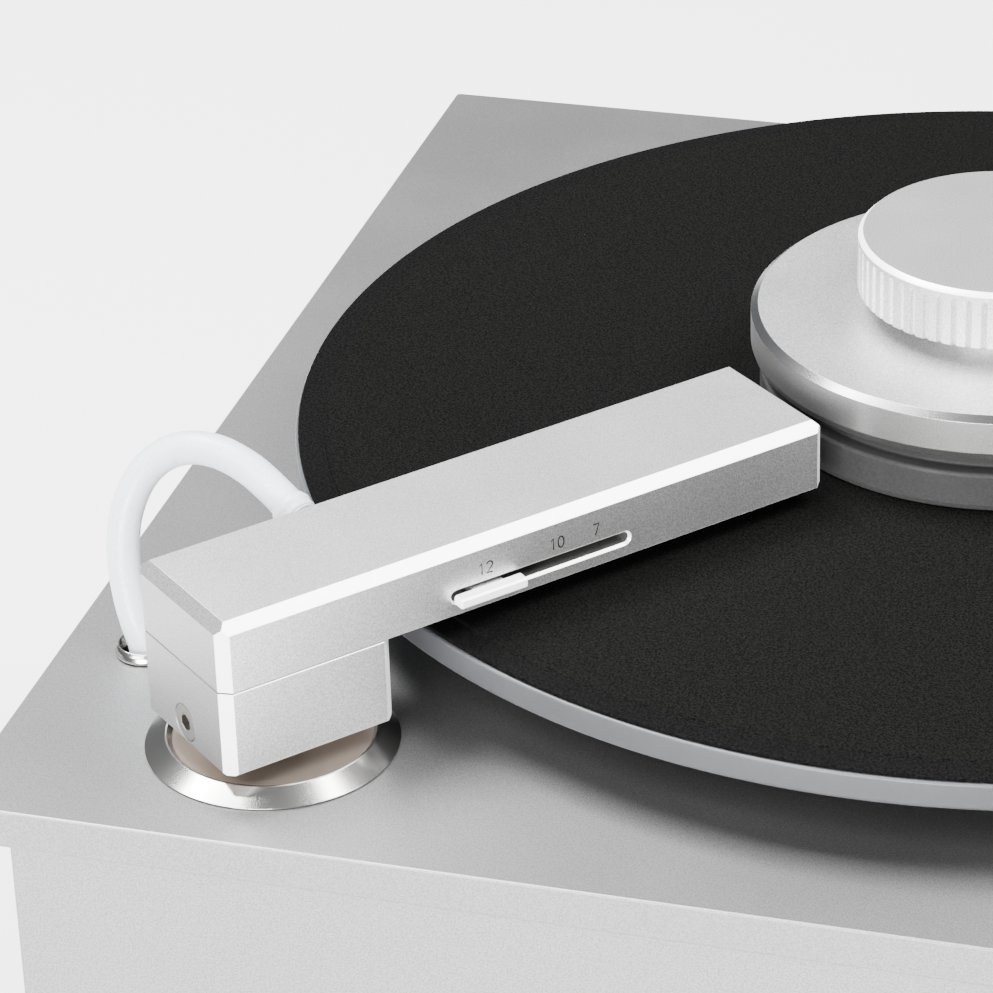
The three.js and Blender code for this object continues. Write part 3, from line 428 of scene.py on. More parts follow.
def lathe(name, profile, *looks, sides=160, steps=4, look_of=None):
    """A turned solid about Z. Profile points are (radius, height) or (radius, height, fillet)."""
    closed = profile[0][0] > 0
    line = rounded(profile, closed, steps)
    points, rows = [], []
    for r, z in line:
        if r < 1e-6:
            rows.append([len(points)] * sides)
            points.append((0, 0, z))
        else:
            rows.append(list(range(len(points), len(points) + sides)))
            turn = [2 * math.pi * k / sides for k in range(sides)]
            points += [(r * math.cos(a), r * math.sin(a), z) for a in turn]
    faces, spans = [], []
    pairs = list(zip(range(len(rows)), range(1, len(rows)))) + ([(len(rows) - 1, 0)] if closed else [])
    for lower, upper in pairs:
        for k in range(sides):
            n = (k + 1) % sides
            corners = [rows[lower][k], rows[lower][n], rows[upper][n], rows[upper][k]]
            distinct = list(dict.fromkeys(corners))
            if len(distinct) > 2:
                faces.append(distinct)
                spans.append((line[lower], line[upper]))
    obj = make(name, points, faces, *looks)
    if look_of:
        for polygon, (a, b) in zip(obj.data.polygons, spans):
            polygon.material_index = look_of((a[0] + b[0]) / 2, (a[1] + b[1]) / 2)
    return smoothed(obj)


def loft(name, loops, *looks):
    """A solid through several outlines that have the same number of points, with flat ends."""
    count = len(loops[0])
    points = [point for loop in loops for point in loop]
    faces = [list(range(count)), list(range((len(loops) - 1) * count, len(loops) * count))]
    for row in range(len(loops) - 1):
        for k in range(count):
            n = (k + 1) % count
            base = row * count
            faces.append([base + k, base + n, base + count + n, base + count + k])
    return make(name, points, faces, *looks)


def block(name, x0, x1, y0, y1, z0, z1, *looks):
    corners = [(x0, y0), (x1, y0), (x1, y1), (x0, y1)]
    return loft(name, [[(x, y, z) for x, y in corners] for z in (z0, z1)], *looks)


def circle(r, sides, x=0.0, y=0.0):
    turn = [2 * math.pi * k / sides for k in range(sides)]
    return [(x + r * math.cos(a), y + r * math.sin(a)) for a in turn]


def plate(name, outline, holes, z0, z1, edge, *looks):
    """A flat plate with holes and rounded edges."""
    data = bpy.data.curves.new(name, "CURVE")
    data.dimensions = "2D"
    data.fill_mode = "BOTH"
    for loop in (outline, *holes):
        spline = data.splines.new("POLY")
        spline.points.add(len(loop) - 1)
        for point, (x, y) in zip(spline.points, loop):
            point.co = (x * MM, y * MM, 0, 1)
        spline.use_cyclic_u = True
    data.extrude = ((z1 - z0) / 2 - edge) * MM
    data.bevel_depth = edge * MM
    data.bevel_resolution = 2
    data.offset = -edge * MM
    flat = bpy.data.objects.new(name + "_outline", data)
    bpy.context.scene.collection.objects.link(flat)
    bpy.context.view_layer.update()
    mesh = bpy.data.meshes.new_from_object(flat.evaluated_get(bpy.context.evaluated_depsgraph_get()))
    bpy.data.objects.remove(flat)
    mesh.transform(Matrix.Translation((0, 0, (z0 + z1) / 2 * MM)))
    bm = bmesh.new()
    bm.from_mesh(mesh)
    bmesh.ops.remove_doubles(bm, verts=bm.verts, dist=0.002 * MM)
    bmesh.ops.recalc_face_normals(bm, faces=bm.faces)
    bm.to_mesh(mesh)
    bm.free()
    obj = bpy.data.objects.new(name, mesh)
    bpy.context.scene.collection.objects.link(obj)
    mesh.materials.clear()
    for look in looks:
        mesh.materials.append(look)
    return smoothed(obj, 30)


def refined(node, look, width, segments=3):
    """A copy of a CAD node's solid with its sharp edges rounded."""
    mesh = frame["nodes"][node].data.copy()
    bm = bmesh.new()
    bm.from_mesh(mesh)
    bmesh.ops.remove_doubles(bm, verts=bm.verts, dist=0.001 * MM)
    bmesh.ops.dissolve_limit(bm, angle_limit=math.radians(1), verts=bm.verts, edges=bm.edges)
    bmesh.ops.recalc_face_normals(bm, faces=bm.faces)
    bm.to_mesh(mesh)
    bm.free()
    mesh.materials.clear()
    mesh.materials.append(look)
    mesh.name = node + "_finished"
    obj = bpy.data.objects.new(node + "_finished", mesh)
    bpy.context.scene.collection.objects.link(obj)
    return smoothed(bevelled(obj, width, segments), 35)


# ---------------------------------------------------------------- plinth
def add_plinth():
    low, high = box_mm("top_plate")
    corner = 1.2
    outline = rounded([(low.x, low.y, corner), (high.x, low.y, corner), (high.x, high.y, corner),
                       (low.x, high.y, corner)], True, 6)
    bearing_hole = 13.6
    sleeve_hole = 9.5
    port_hole, button_hole = 5.6, 8.4
    port_low, port_high = arm_box("hose_port")
    port = ARM @ (((port_low + port_high) / 2) * MM) / MM
    holes = [circle(bearing_hole, 64), circle(sleeve_hole, 64, PIVOT.x, PIVOT.y),
             circle(port_hole, 48, port.x, port.y)]
    for name in BUTTONS:
        button_low, button_high = box_mm(name)
        middle = (button_low + button_high) / 2
        holes.append(circle(button_hole, 64, middle.x, middle.y))
    deck = plate("deck_plate", outline, holes, low.z, high.z, 0.5, LOOKS["deck_metal"])
    install(deck, "root", "deck_metal", "top_plate")
    for side in ("front", "rear", "left", "right"):
        panel = refined(f"{side}_panel", LOOKS["case_panel"], 0.7)
        install(panel, "root", "case_panel", f"{side}_panel")
    base = refined("bottom_plate", LOOKS["dark_paint"], 0.8)
    install(base, "root", "dark_paint", "bottom_plate")
    for depth in ("front", "rear"):
        for side in ("left", "right"):
            add_foot(f"{depth}_{side}")


def add_foot(corner):
    low, high = box_mm(f"foot_{corner}")
    r, top = (high.x - low.x) / 2, high.z
    middle = (low + high) / 2
    groove = [(r, 5.2, 0.3), (r - 0.9, 5.6, 0.2), (r - 0.9, 6.6, 0.2), (r, 7.0, 0.3)]
    profile = [(0, 0.8), (r - 7, 0.8, 0.4), (r - 6, 0, 0.5), (r - 2.5, 0, 1.4), (r - 0.4, 3.0, 1.5), *groove,
               (r, top - 1.2, 1.0), (r - 2.2, top, 0.6), (0, top)]
    foot = lathe(f"foot_{corner}_turned", profile, LOOKS["rubber"], sides=96)
    install(foot, "root", "rubber", f"foot_{corner}", place=at(middle.x, middle.y))


# ---------------------------------------------------------------- platter
def add_platter():
    low, high = box_mm("platter")
    r = high.x
    edge = 0.9
    bore = 3.9
    profile = [(bore, low.z), (r, low.z, edge), (r, high.z, 0.55), (bore, high.z)]
    disc = lathe("platter_disc", profile, LOOKS["frosted_acrylic"], sides=288, steps=6)
    install(disc, "platter", "frosted_acrylic", "platter")

    low, high = box_mm("platter_mat")
    r = high.x
    band, step = 5.3, 0.35
    profile = [(bore, low.z), (r, low.z, 0.15), (r, high.z - step, 0.3), (r - band, high.z - step, 0.15),
               (r - band - 0.25, high.z, 0.2), (bore, high.z)]
    mat = lathe("felt_mat", profile, LOOKS["black_felt"], MAT_BAND, sides=288, steps=3,
                look_of=lambda radius, height: 1 if radius > r - band - 0.1 else 0)
    install(mat, "platter", "black_felt", "platter_mat")

    low, high = box_mm("spindle")
    tip, top = 3.55, high.z
    shoulder = box_mm("platter")[0].z - 0.3
    profile = [(0, low.z), (high.x, low.z, 0.5), (high.x, shoulder, 0.4), (tip, shoulder),
               (tip, top - 3, 1.2), (1.4, top, 1.2), (0, top)]
    pin = lathe("spindle_turned", profile, LOOKS["polished_steel"], sides=64, steps=5)
    install(pin, "platter", "polished_steel", "spindle")

    low, high = box_mm("platter_hub")
    hub_bore, rounding = 6.3, 0.8
    profile = [(hub_bore, low.z), (high.x, low.z, rounding), (high.x, high.z, rounding), (hub_bore, high.z)]
    hub = lathe("platter_hub_turned", profile, LOOKS["satin_aluminium"], sides=128)
    install(hub, "platter", "satin_aluminium", "platter_hub")


# ---------------------------------------------------------------- label clamp
def add_clamp():
    seal_low, seal_high = box_mm("clamp_seal")
    bottom, top = seal_low.z, seal_high.z
    lip, neck, inner = seal_high.x, 46.0, 36.0
    lip_top = DECK + 28.3
    profile = [(inner, bottom), (lip - 0.2, bottom, 0.5), (lip, bottom + 1.2, 0.6), (lip, lip_top, 0.9),
               (neck, lip_top, 0.5), (neck, top), (inner, top)]
    seal = lathe("clamp_seal_ring", profile, LOOKS["rubber"], sides=192)
    install(seal, "clamp", "rubber", "clamp_seal")

    low, high = box_mm("clamp_disc")
    r, under, top = high.x, DECK + 32.4, high.z
    bevel = 1.5
    bore, bore_top, hub = 3.9, DECK + 38.5, 30.0
    profile = [(0, bore_top), (bore, bore_top), (bore, low.z, 0.3), (hub, low.z, 0.5), (hub, under),
               (r - 0.6, under, 0.25), (r, under + 1.6, 0.6), (r, top - 1.2, 0.12), (r - bevel, top, 0.12),
               (0, top)]

    def look_of(radius, height):
        """Which material a strip of the profile has: the satin faces, the turned bevel or the side, whose darker
        copy paints shade.
        """
        satin, turned, side = 0, 1, 2
        if radius < r - bevel or height > top - 0.01:
            return satin
        return turned if height > top - 1.25 else side

    disc = lathe("clamp_disc_turned", profile, LOOKS["satin_aluminium"], TURNED_BEVEL, SHADED_DISC_SIDE, sides=224,
                 look_of=look_of)
    install(disc, "clamp", "satin_aluminium", "clamp_disc")
    add_knob()


def add_knob():
    """The knob's side is a grid of points round and up, whose radius dips into narrow grooves."""
    low, high = box_mm("clamp_knob")
    r, bottom, top = high.x, DECK + 45.5, high.z
    flutes, per_flute = 60, 10
    groove_share, depth, groove_end = 0.34, 0.62, DECK + 56.2
    bevel = 0.95
    neck = 20.0
    sides = flutes * per_flute

    def dip(k, z):
        across = abs(((k / per_flute) % 1.0) - 0.5) / (groove_share / 2)
        shape = 0.0 if across >= 1 else math.cos(across * math.pi / 2) ** 0.7
        run_out = (groove_end - z - 0.9 * across * across) / 0.5
        return depth * shape * min(1.0, max(0.0, run_out))

    heights = [bottom + 0.35, bottom + 5, groove_end - 1.6, groove_end - 1.2, groove_end - 0.9,
               groove_end - 0.6, groove_end - 0.4, groove_end - 0.2, groove_end, top - bevel]
    rows = [(0, low.z, None), (neck, low.z, None), (neck, bottom, None), (r - 1.2, bottom, None),
            (r - 0.3, bottom, bottom)]
    rows += [(r, z, z) for z in heights]
    rows += [(r - 0.05, top - bevel + 0.04, None), (r - bevel, top - 0.03, None)]
    rows += [(r - bevel - 0.1, top, None), (0, top, None)]
    points, index = [], []
    for radius, z, fluted in rows:
        if radius == 0:
            index.append([len(points)] * sides)
            points.append((0, 0, z))
            continue
        index.append(list(range(len(points), len(points) + sides)))
        for k in range(sides):
            a = 2 * math.pi * k / sides
            reach = radius - (dip(k, fluted) if fluted is not None else 0)
            points.append((reach * math.cos(a), reach * math.sin(a), z))
    faces = []
    for lower, upper in zip(index, index[1:]):
        for k in range(sides):
            n = (k + 1) % sides
            corners = list(dict.fromkeys([lower[k], lower[n], upper[n], upper[k]]))
            faces.append(corners)
    knob = make("clamp_knob_fluted", points, faces, LOOKS["satin_aluminium"], CUT_EDGE_PAINTED_HIGHLIGHT)
    # The bevel ring round the top takes the cut edges' near-white painted highlight.
    for polygon in knob.data.polygons:
        height = polygon.center.z / MM
        on_bevel = top - bevel + 0.02 < height < top - 0.02
        polygon.material_index = 1 if on_bevel else 0
    install(smoothed(knob, 30), "knob", "satin_aluminium", "clamp_knob")


# ---------------------------------------------------------------- vacuum arm
def trimmed_bar(name, low, high, planes, edge, *looks):
    """A box cut by slanting planes, given as (point, normal), with very slightly rounded edges."""
    bm = bmesh.new()
    bmesh.ops.create_cube(bm, size=1)
    size, middle = high - low, (low + high) / 2
    for vertex in bm.verts:
        vertex.co = Vector([vertex.co[axis] * size[axis] + middle[axis] for axis in range(3)])
    for point, normal in planes:
        everything = bm.verts[:] + bm.edges[:] + bm.faces[:]
        result = bmesh.ops.bisect_plane(bm, geom=everything, plane_co=point, plane_no=normal,
                                        clear_outer=True)
        rim = [item for item in result["geom_cut"] if isinstance(item, bmesh.types.BMEdge)]
        bmesh.ops.edgeloop_fill(bm, edges=rim)
    bmesh.ops.bevel(bm, geom=bm.edges[:], offset=edge, segments=2, profile=0.5, affect="EDGES")
    bmesh.ops.recalc_face_normals(bm, faces=bm.faces)
    points = [tuple(vertex.co) for vertex in bm.verts]
    faces = [[vertex.index for vertex in face.verts] for face in bm.faces]
    bm.free()
    return make(name, points, faces, *looks)


def corner_planes(low, high, c):
    """Planes that chamfer the four upright edges of a box."""
    planes = []
    for x, sx in ((low.x, -1), (high.x, 1)):
        for y, sy in ((low.y, -1), (high.y, 1)):
            planes.append(((x - sx * c, y, 0), (sx, sy, 0)))
    return planes


def rim_planes(low, high, c, z, sz):
    """Planes that chamfer the four edges of a box's top or bottom."""
    planes = []
    for x, sx in ((low.x, -1), (high.x, 1)):
        planes.append(((x - sx * c, 0, z), (sx, 0, sz)))
    for y, sy in ((low.y, -1), (high.y, 1)):
        planes.append(((0, y - sy * c, z), (0, sy, sz)))
    return planes


# The bar's materials: satin, the cut edges' painted highlight, and the painted shade of the hollows, the end
# chamfers and the ends.
BAR_LOOKS = (LOOKS["satin_aluminium"], CUT_EDGE_PAINTED_HIGHLIGHT, SHADED_SLOT_WALL, SHADED_END_CHAMFER, SHADED_END_FACE)
CUT, WALL, END_SLANT, END = range(1, len(BAR_LOOKS))


def mark_cut_faces(obj):
    """Gives a bar's slanting edges their near-white painted highlight and its two ends darker copies that paint
    shade, by which way each face looks.
    """
    turned = 0.35
    for polygon in obj.data.polygons:
        along, across, up = [abs(part) > turned for part in polygon.normal]
        if across and (along or up):
            polygon.material_index = CUT
        elif along:
            polygon.material_index = END_SLANT if up else END


def stadium(x0, x1, z0, z1, grow, y, arc=14):
    """A slot's outline in the plane at y, from x0 to x1, with round ends."""
    r = (z1 - z0) / 2
    z = (z0 + z1) / 2
    points = []
    for centre, start in ((x1 - r, -math.pi / 2), (x0 + r, math.pi / 2)):
        for k in range(arc + 1):
            a = start + math.pi * k / arc
            points.append((centre + (r + grow) * math.cos(a), y, z + (r + grow) * math.sin(a)))
    return points


BEAM_CHAMFER = 2.14
SLOT = {"x0": 31.1, "x1": 72.5, "z0": 26.6, "z1": 29.9, "flare": 0.5}
CHAMBER = {"x0": 14, "x1": 115, "half": 12.5, "top": 34.8}


def add_beam():
    low, high = arm_box("arm_beam")
    c = BEAM_CHAMFER
    planes = corner_planes(low, high, c) + rim_planes(low, high, c, high.z, 1)
    edge = 0.07
    beam = trimmed_bar("arm_beam_milled", low, high, planes, edge, *BAR_LOOKS)
    mark_cut_faces(beam)

    s = SLOT
    f = s["flare"]
    inner = (s["x0"] + f, s["x1"] - f, s["z0"] + f, s["z1"] - f)
    front = low.y
    flare = stadium(*inner, f + 1, front - 1)
    inside = 1 - CHAMBER["half"]
    slot = loft("slot_cutter", [flare, stadium(*inner, 0, front + f), stadium(*inner, 0, inside)])
    ends = 2
    # The slot's flare takes the cut edges' painted highlight, and the slot's and chamber's inside walls take the
    # dark colour that paints their shade.
    for polygon in slot.data.polygons[ends:]:
        polygon.material_index = CUT if polygon.index < len(flare) + ends else WALL
    chamber = block("chamber_cutter", CHAMBER["x0"], CHAMBER["x1"], -CHAMBER["half"], CHAMBER["half"],
                    low.z - 1, CHAMBER["top"])
    for polygon in chamber.data.polygons:
        polygon.material_index = WALL
    bore, deep = 2.7, 9
    nipple_hole = lathe("nipple_cutter", [(0, -deep), (bore, -deep), (bore, 1), (0, 1)],
                        LOOKS["satin_aluminium"], sides=48)
    nipple_hole.data.transform(hose_axis())
    less(beam, slot, chamber, nipple_hole)
    install(smoothed(beam, 20), "arm", "satin_aluminium", "arm_beam", place=ARM)
    add_marks(front)


def add_arm_block():
    low, high = arm_box("arm_block")
    bottom_rim, top_rim, edge = 0.5, 0.15, 0.05
    planes = corner_planes(low, high, BEAM_CHAMFER) + rim_planes(low, high, bottom_rim, low.z, -1)
    planes += rim_planes(low, high, top_rim, high.z, 1)
    body = trimmed_bar("arm_block_milled", low, high, planes, edge, *BAR_LOOKS)
    mark_cut_faces(body)
    shaft_r, shaft_top = 5.6, 20.3
    shaft = lathe("shaft_cutter", [(0, 0), (shaft_r, 0), (shaft_r, shaft_top), (0, shaft_top)],
                  LOOKS["satin_aluminium"], sides=64)
    screw_z = 10.7
    towards_screw = at(low.x, 0, screw_z) @ Matrix.Rotation(-math.pi / 2, 4, "Y")
    sink_r, thread_r, sink_deep, thread_deep = 4.75, 2.3, 2.0, 12.4
    profile = [(0, 1), (sink_r, 1), (thread_r, -sink_deep), (thread_r, -thread_deep), (0, -thread_deep)]
    sink = lathe("sink_cutter", profile, SCREW_STEEL, sides=64)
    sink.data.transform(towards_screw)
    # The countersink's walls take the dark colour that paints shade in the hollow.
    for polygon in sink.data.polygons:
        polygon.material_index = WALL
    less(body, shaft, sink)
    install(smoothed(body, 20), "arm", "satin_aluminium", "arm_block", place=ARM)

    socket_deep, socket_half = 2.2, 1.5
    screw = lathe("clamp_screw_turned", [(0, -12), (2, -12, 0.3), (2, -2.2, 0.2), (3.85, -0.25, 0.15),
                                         (3.55, -0.05, 0.15), (2.0, -0.12, 0.3), (0, -0.12)],
                  SCREW_STEEL, sides=96)
    hexagon = circle(socket_half / math.cos(math.pi / 6), 6)
    tool = loft("socket_cutter", [[(x, y, z) for x, y in hexagon] for z in (-socket_deep, 1)], SCREW_STEEL)
    less(screw, tool)
    install(smoothed(screw, 25), "arm", "polished_steel", "clamp_screw", place=ARM @ towards_screw)


def add_arm_column():
    low, high = arm_box("arm_flange")
    r, rim, high_z, dish, bore = high.x, 20.2, 2.84, 1.7, 9.4
    profile = [(bore, low.z), (r - 0.15, low.z), (r, low.z + 0.25, 0.1), (rim + 0.35, high_z - 0.08, 0.12),
               (rim - 0.05, high_z - 0.02, 0.12), (rim - 1.0, dish, 0.4), (bore, dish)]
    # The dish inside the rim takes the warm colour that paints a reflection under the block.
    flange = lathe("arm_flange_turned", profile, LOOKS["polished_steel"], DISH_PAINTED_REFLECTION, sides=224, steps=5,
                   look_of=lambda radius, height: 1 if radius < rim - 0.6 and height > low.z + 0.1 else 0)
    install(flange, "root", "polished_steel", "arm_flange", place=ARM)

    low, high = arm_box("lift_sleeve")
    bore, sleeve_r, rounding = 5.6, 9, 0.4
    profile = [(bore, low.z), (sleeve_r, low.z, rounding), (sleeve_r, high.z, rounding), (bore, high.z)]
    # The sleeve is near-black, a painted shade under the arm block.
    sleeve = lathe("lift_sleeve_turned", profile, SHADED_DARK_STEEL, sides=96)
    install(sleeve, "lift_column", "polished_steel", "lift_sleeve", place=ARM)
    low, high = arm_box("arm_shaft")
    shaft_r = 5.3
    profile = [(0, low.z), (shaft_r, low.z, 0.5), (shaft_r, high.z, 0.4), (0, high.z)]
    # The shaft is near-black, a painted shade under the arm block.
    shaft = lathe("arm_shaft_turned", profile, SHADED_DARK_STEEL, sides=96)
    install(shaft, "arm", "polished_steel", "arm_shaft", place=ARM)


def add_spring():
    """The coil under the lift sleeve, with its end turns closed."""
    low, high = box_mm("lift_spring")
    wire, turns, per_turn = 0.65, 5, 28
    closed_share = 0.12
    coil_r = (high.x - low.x) / 2 - wire
    bottom, travel = low.z + wire, high.z - low.z - 2 * wire
    steps = turns * per_turn
    section = circle(wire, 12)
    loops = []
    for i in range(steps + 1):
        a = 2 * math.pi * turns * i / steps
        rise = min(1.0, max(0.0, (i / steps - closed_share) / (1 - 2 * closed_share)))
        middle = bottom + travel * rise
        ring = [(coil_r + u, middle + v) for u, v in section]
        loops.append([(r * math.cos(a), r * math.sin(a), z) for r, z in ring])
    coil = smoothed(loft("lift_spring_coil", loops, LOOKS["steel"]), 60)
    coil.matrix_world = at(PIVOT.x, PIVOT.y)
    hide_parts("lift_spring")
    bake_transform(coil)


def add_slider():
    """The tab that stands out of the slot, with its neck and foot inside the beam."""
    low, high = arm_box("size_slider")
    face = arm_box("arm_beam")[0].y
    x0, x1 = 31.9, 47.0
    z0, z1 = 26.85, 28.95
    c, edge, sunk = 0.35, 0.05, 0.3
    head_low, head_high = Vector((x0, low.y, z0)), Vector((x1, face - sunk, z1))
    planes = rim_planes(head_low, head_high, c, z1, 1) + rim_planes(head_low, head_high, c, z0, -1)
    planes = [(point, normal) for point, normal in planes if normal[1] <= 0]
    planes += corner_planes(head_low, head_high, c)[::2]
    # The tab's head is near-white all over, a painted highlight on the cut tab.
    head = trimmed_bar("slider_head", head_low, head_high, planes, edge, CUT_EDGE_PAINTED_HIGHLIGHT)
    middle = (x0 + x1) / 2
    neck_half, neck_end, neck_z0, neck_z1 = 3.5, -9.5, 27.6, 28.9
    foot_half, foot_start, foot_z0, foot_z1 = 5, -11.5, 26.8, 31
    neck = block("slider_neck", middle - neck_half, middle + neck_half, face - 0.35, neck_end,
                 neck_z0, neck_z1, LOOKS["satin_aluminium"])
    foot = block("slider_foot", middle - foot_half, middle + foot_half, foot_start, high.y,
                 foot_z0, foot_z1, LOOKS["satin_aluminium"])
    tab = merged("size_slider_tab", head, neck, foot)
    install(smoothed(tab, 20), "slider", "polished_steel", "size_slider", place=ARM)


def number_strokes(text):
    """Each number's strokes, as (x, height) points in units of the number's height."""
    arc = [math.pi * k / 10 for k in range(21)]
    oval = [(0.3 - 0.27 * math.cos(a), 0.5 + 0.5 * math.sin(a)) for a in arc]
    two_top = [(0.3 - 0.27 * math.cos(a), 0.72 + 0.28 * math.sin(a)) for a in arc[1:13]]
    shapes = {
        "0": [oval],
        "1": [[(0.1, 0.8), (0.32, 1.0), (0.32, 0.0)]],
        "2": [[*two_top, (0.04, 0.0), (0.58, 0.0)]],
        "7": [[(0.02, 1.0), (0.57, 1.0), (0.2, 0.0)]],
    }
    advance = 0.74
    left = -advance * (len(text) - 1) / 2 - 0.3
    strokes = []
    for place, digit in enumerate(text):
        strokes += [[(x + left + advance * place, z) for x, z in line] for line in shapes[digit]]
    return strokes


def add_marks(front):
    """The record sizes in inches, printed above the slot."""
    height, base, line, sunk = 2.4, 31.2, 0.20, 0.12
    curve = bpy.data.curves.new("size_marks", "CURVE")
    curve.dimensions = "3D"
    curve.bevel_depth = line * MM
    curve.bevel_resolution = 2
    curve.use_fill_caps = True
    for text, x in (("12", 39.2), ("10", 55.4), ("7", 64.4)):
        for stroke in number_strokes(text):
            spline = curve.splines.new("POLY")
            spline.points.add(len(stroke) - 1)
            for point, (u, v) in zip(spline.points, stroke):
                point.co = ((x + u * height) * MM, (front + sunk) * MM, (base + v * height) * MM, 1)
    lines = bpy.data.objects.new("size_marks_lines", curve)
    bpy.context.scene.collection.objects.link(lines)
    bpy.context.view_layer.update()
    mesh = bpy.data.meshes.new_from_object(lines.evaluated_get(bpy.context.evaluated_depsgraph_get()))
    bpy.data.objects.remove(lines)
    marks = bpy.data.objects.new("size_marks", mesh)
    bpy.context.scene.collection.objects.link(marks)
    mesh.materials.clear()
    mesh.materials.append(INK)
    install(marks, "arm", "black_plastic", place=ARM)


# ---------------------------------------------------------------- suction hose
# Centre points from the nipple to the deck port, in the arm's own frame, as in part.mjs. The first eight are
# rounded points of a curve that a program fitted to the photo, and the other six were placed one by one.
HOSE_ROUTE = [
    (20.1, 20.5, 32.6), (19, 27.2, 35.5), (17.1, 34.1, 38.4), (14.2, 40.7, 40.1), (10.6, 46.5, 39.8),
    (6.5, 50.8, 37.2), (2.4, 53, 32.4), (-1.1, 53, 25.8), (-3.4, 51, 18.6), (-4.4, 48, 12),
    (-4.6, 45.2, 6.6), (-4.2, 43.4, 2.6), (-4, 43, 0), (-4, 43, -5),
]
HOSE_R = 3.35
HOSE_STRETCH, STRETCH_ENDS = 0.35, 5.0  # how much wider the hose's start is, and where that ends


def hose_axis():
    """The frame whose origin is the hose's start and whose Z runs along the hose, in metres."""
    start, following = Vector(HOSE_ROUTE[0]), Vector(HOSE_ROUTE[1])
    turn = (following - start).to_track_quat("Z", "Y").to_matrix().to_4x4()
    return Matrix.Translation(start * MM) @ turn


def smooth_line(points, per_span):
    """A Catmull-Rom curve through the points."""
    p = [Vector(point) for point in points]
    p = [p[0] * 2 - p[1], *p, p[-1] * 2 - p[-2]]
    line = []
    for i in range(1, len(p) - 2):
        for k in range(per_span):
            t = k / per_span
            a, b, c, d = p[i - 1 : i + 3]
            line.append(0.5 * ((2 * b) + (c - a) * t + (2 * a - 5 * b + 4 * c - d) * t * t
                               + (3 * b - a - 3 * c + d) * t * t * t))
    line.append(p[-2])
    return line


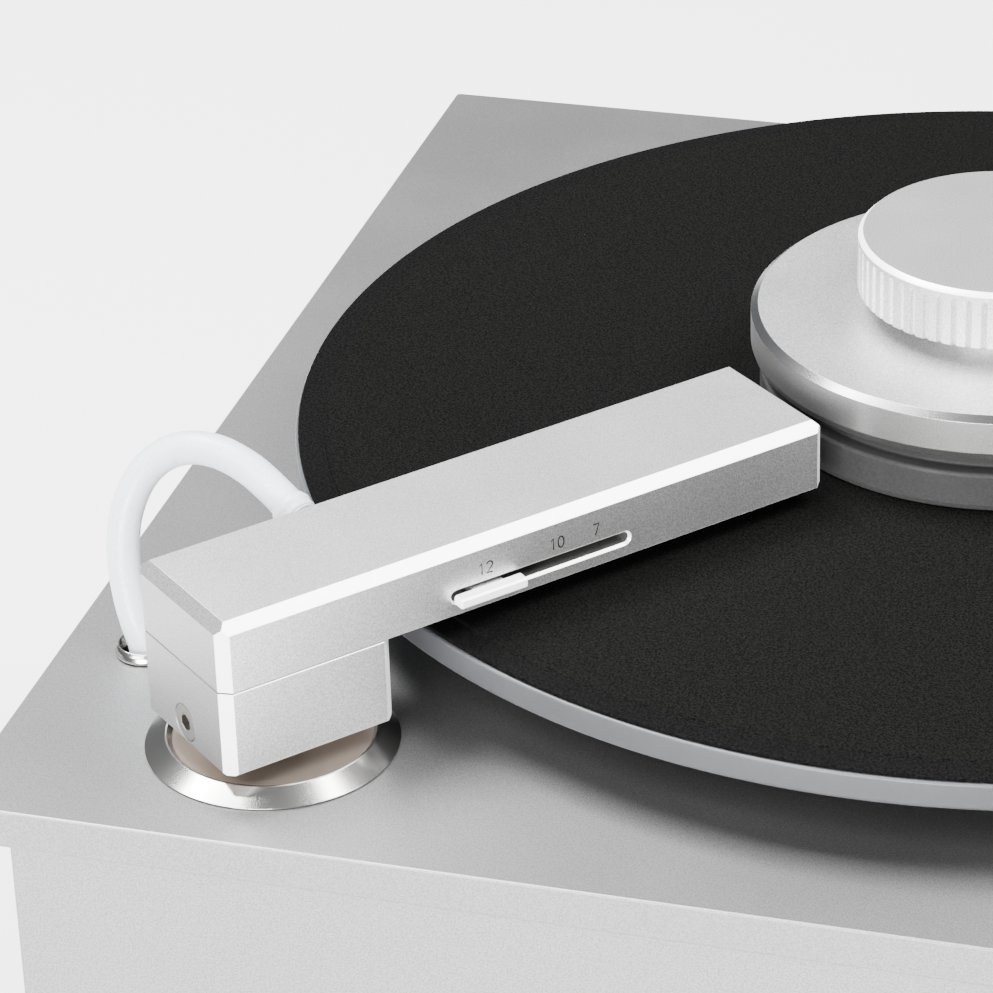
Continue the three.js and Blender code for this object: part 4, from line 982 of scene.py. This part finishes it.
def add_hose():
    sides, per_span, wall = 32, 6, 1.05
    line = smooth_line(HOSE_ROUTE, per_span)
    last = len(line) - 1
    tangents = [(line[min(i + 1, last)] - line[max(i - 1, 0)]).normalized() for i in range(len(line))]
    across = tangents[0].orthogonal().normalized()
    rings = []
    travelled = 0.0
    for i, centre in enumerate(line):
        if i:
            travelled += (centre - line[i - 1]).length
            turn = tangents[i - 1].rotation_difference(tangents[i])
            across.rotate(turn)
        other = tangents[i].cross(across)
        stretch = HOSE_STRETCH * max(0.0, 1 - travelled / STRETCH_ENDS)
        for_radius = []
        for r in (HOSE_R + stretch, HOSE_R - wall + stretch):
            for_radius.append([centre + across * (r * math.cos(a)) + other * (r * math.sin(a))
                               for a in [2 * math.pi * k / sides for k in range(sides)]])
        rings.append(for_radius)
    outside = [ring[0] for ring in rings]
    inside = [ring[1] for ring in reversed(rings)]
    loops = outside + inside
    points = [point for loop in loops for point in loop]
    faces = []
    for row in range(len(loops)):
        following = (row + 1) % len(loops)
        for k in range(sides):
            n = (k + 1) % sides
            faces.append([row * sides + k, row * sides + n, following * sides + n, following * sides + k])
    hose = make("suction_hose_tube", points, faces, LOOKS["clear_hose"])
    hose.data.transform(ARM)
    smoothed(hose, 60)
    path = [ARM @ (point * MM) for point in line]
    length = sum((b - a).length for a, b in zip(path, path[1:]))
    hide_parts("suction_hose")
    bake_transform(hose)
    tuple(path[0])
    [tuple(point) for point in path]

    collar_profile = [(3.4, 0.4), (4.0, 0.4, 0.4), (3.85, 1.7, 0.4), (4.15, 2.6, 0.5), (3.75, 4.0, 0.4),
                      (3.4, 4.2)]
    collar = lathe("hose_collar", collar_profile, LOOKS["clear_hose"], sides=96, steps=5)
    install(collar, "arm", "clear_hose", place=ARM @ hose_axis())

    nipple_profile = [(0, -8), (2.4, -8, 0.2), (2.4, -2.9), (4.1, -2.9, 0.25), (4.1, -1.7, 0.25), (2.4, -1.7),
                      (2.4, -0.1, 0.3), (0, -0.1)]
    nipple = lathe("hose_nipple_turned", nipple_profile, LOOKS["polished_steel"], sides=64)
    install(nipple, "arm", "polished_steel", "hose_nipple", place=ARM @ hose_axis())

    low, high = arm_box("hose_port")
    middle = (low + high) / 2
    r, top, bore, mouth, tube = high.x - middle.x, high.z, 4.5, 5.6, 5.4
    profile = [(bore, low.z), (tube, low.z), (tube, 0.1), (r - 0.25, 0.1, 0.3), (r, 0.75, 0.5),
               (r - 0.35, top - 0.75, 0.7), (r - 1.15, top, 0.6), (mouth, top, 0.5), (bore, top - 2.0, 0.6)]
    port = lathe("hose_port_turned", profile, LOOKS["polished_steel"], sides=128, steps=6)
    install(port, "root", "polished_steel", "hose_port", place=ARM @ at(middle.x, middle.y))


# ---------------------------------------------------------------- buttons and rear fittings
BUTTONS = ("button_forward", "button_reverse", "button_suction")


def add_buttons():
    for name in BUTTONS:
        low, high = box_mm(name)
        middle = (low + high) / 2
        collar, under, top = high.x - middle.x, DECK - 8.3, high.z
        r = collar - 1.6
        profile = [(0, low.z), (collar, low.z, 0.3), (collar, under, 0.3), (r, under), (r, top, 0.5),
                   (r - 1.1, top, 0.3), (r - 2.2, top - 0.35, 1.0), (0, top - 0.5)]
        cap = lathe(name + "_turned", profile, LOOKS["polished_steel"], sides=96)
        install(cap, name, "polished_steel", name, place=at(middle.x, middle.y))


def add_rear_fittings():
    fittings = [
        ("mains_inlet", "root", "black_plastic", 0.35), ("switch_body", "root", "black_plastic", 0.35),
        ("power_rocker", "rocker", "black_plastic", 0.3), ("drain_valve", "root", "brass", 0.4),
        ("drain_lever", "drain_lever", "satin_aluminium", 0.5),
    ]
    for node, body, slot, edge in fittings:
        install(refined(node, LOOKS[slot], edge), body, slot, node)


def finish_hidden_nodes():
    """The CAD nodes that stay get the look of their material slot."""
    slots = {row["node"]: row["material_slot"] for row in frame["record"]["subparts"]}
    for name, node in frame["nodes"].items():
        if not node.hide_render:
            node.material_slots[0].material = LOOKS[slots[name]]


add_camera()
add_hose()
add_studio()
add_plinth()
add_platter()
add_clamp()
add_beam()
add_arm_block()
add_arm_column()
add_spring()
add_slider()
add_buttons()
add_rear_fittings()
finish_hidden_nodes()
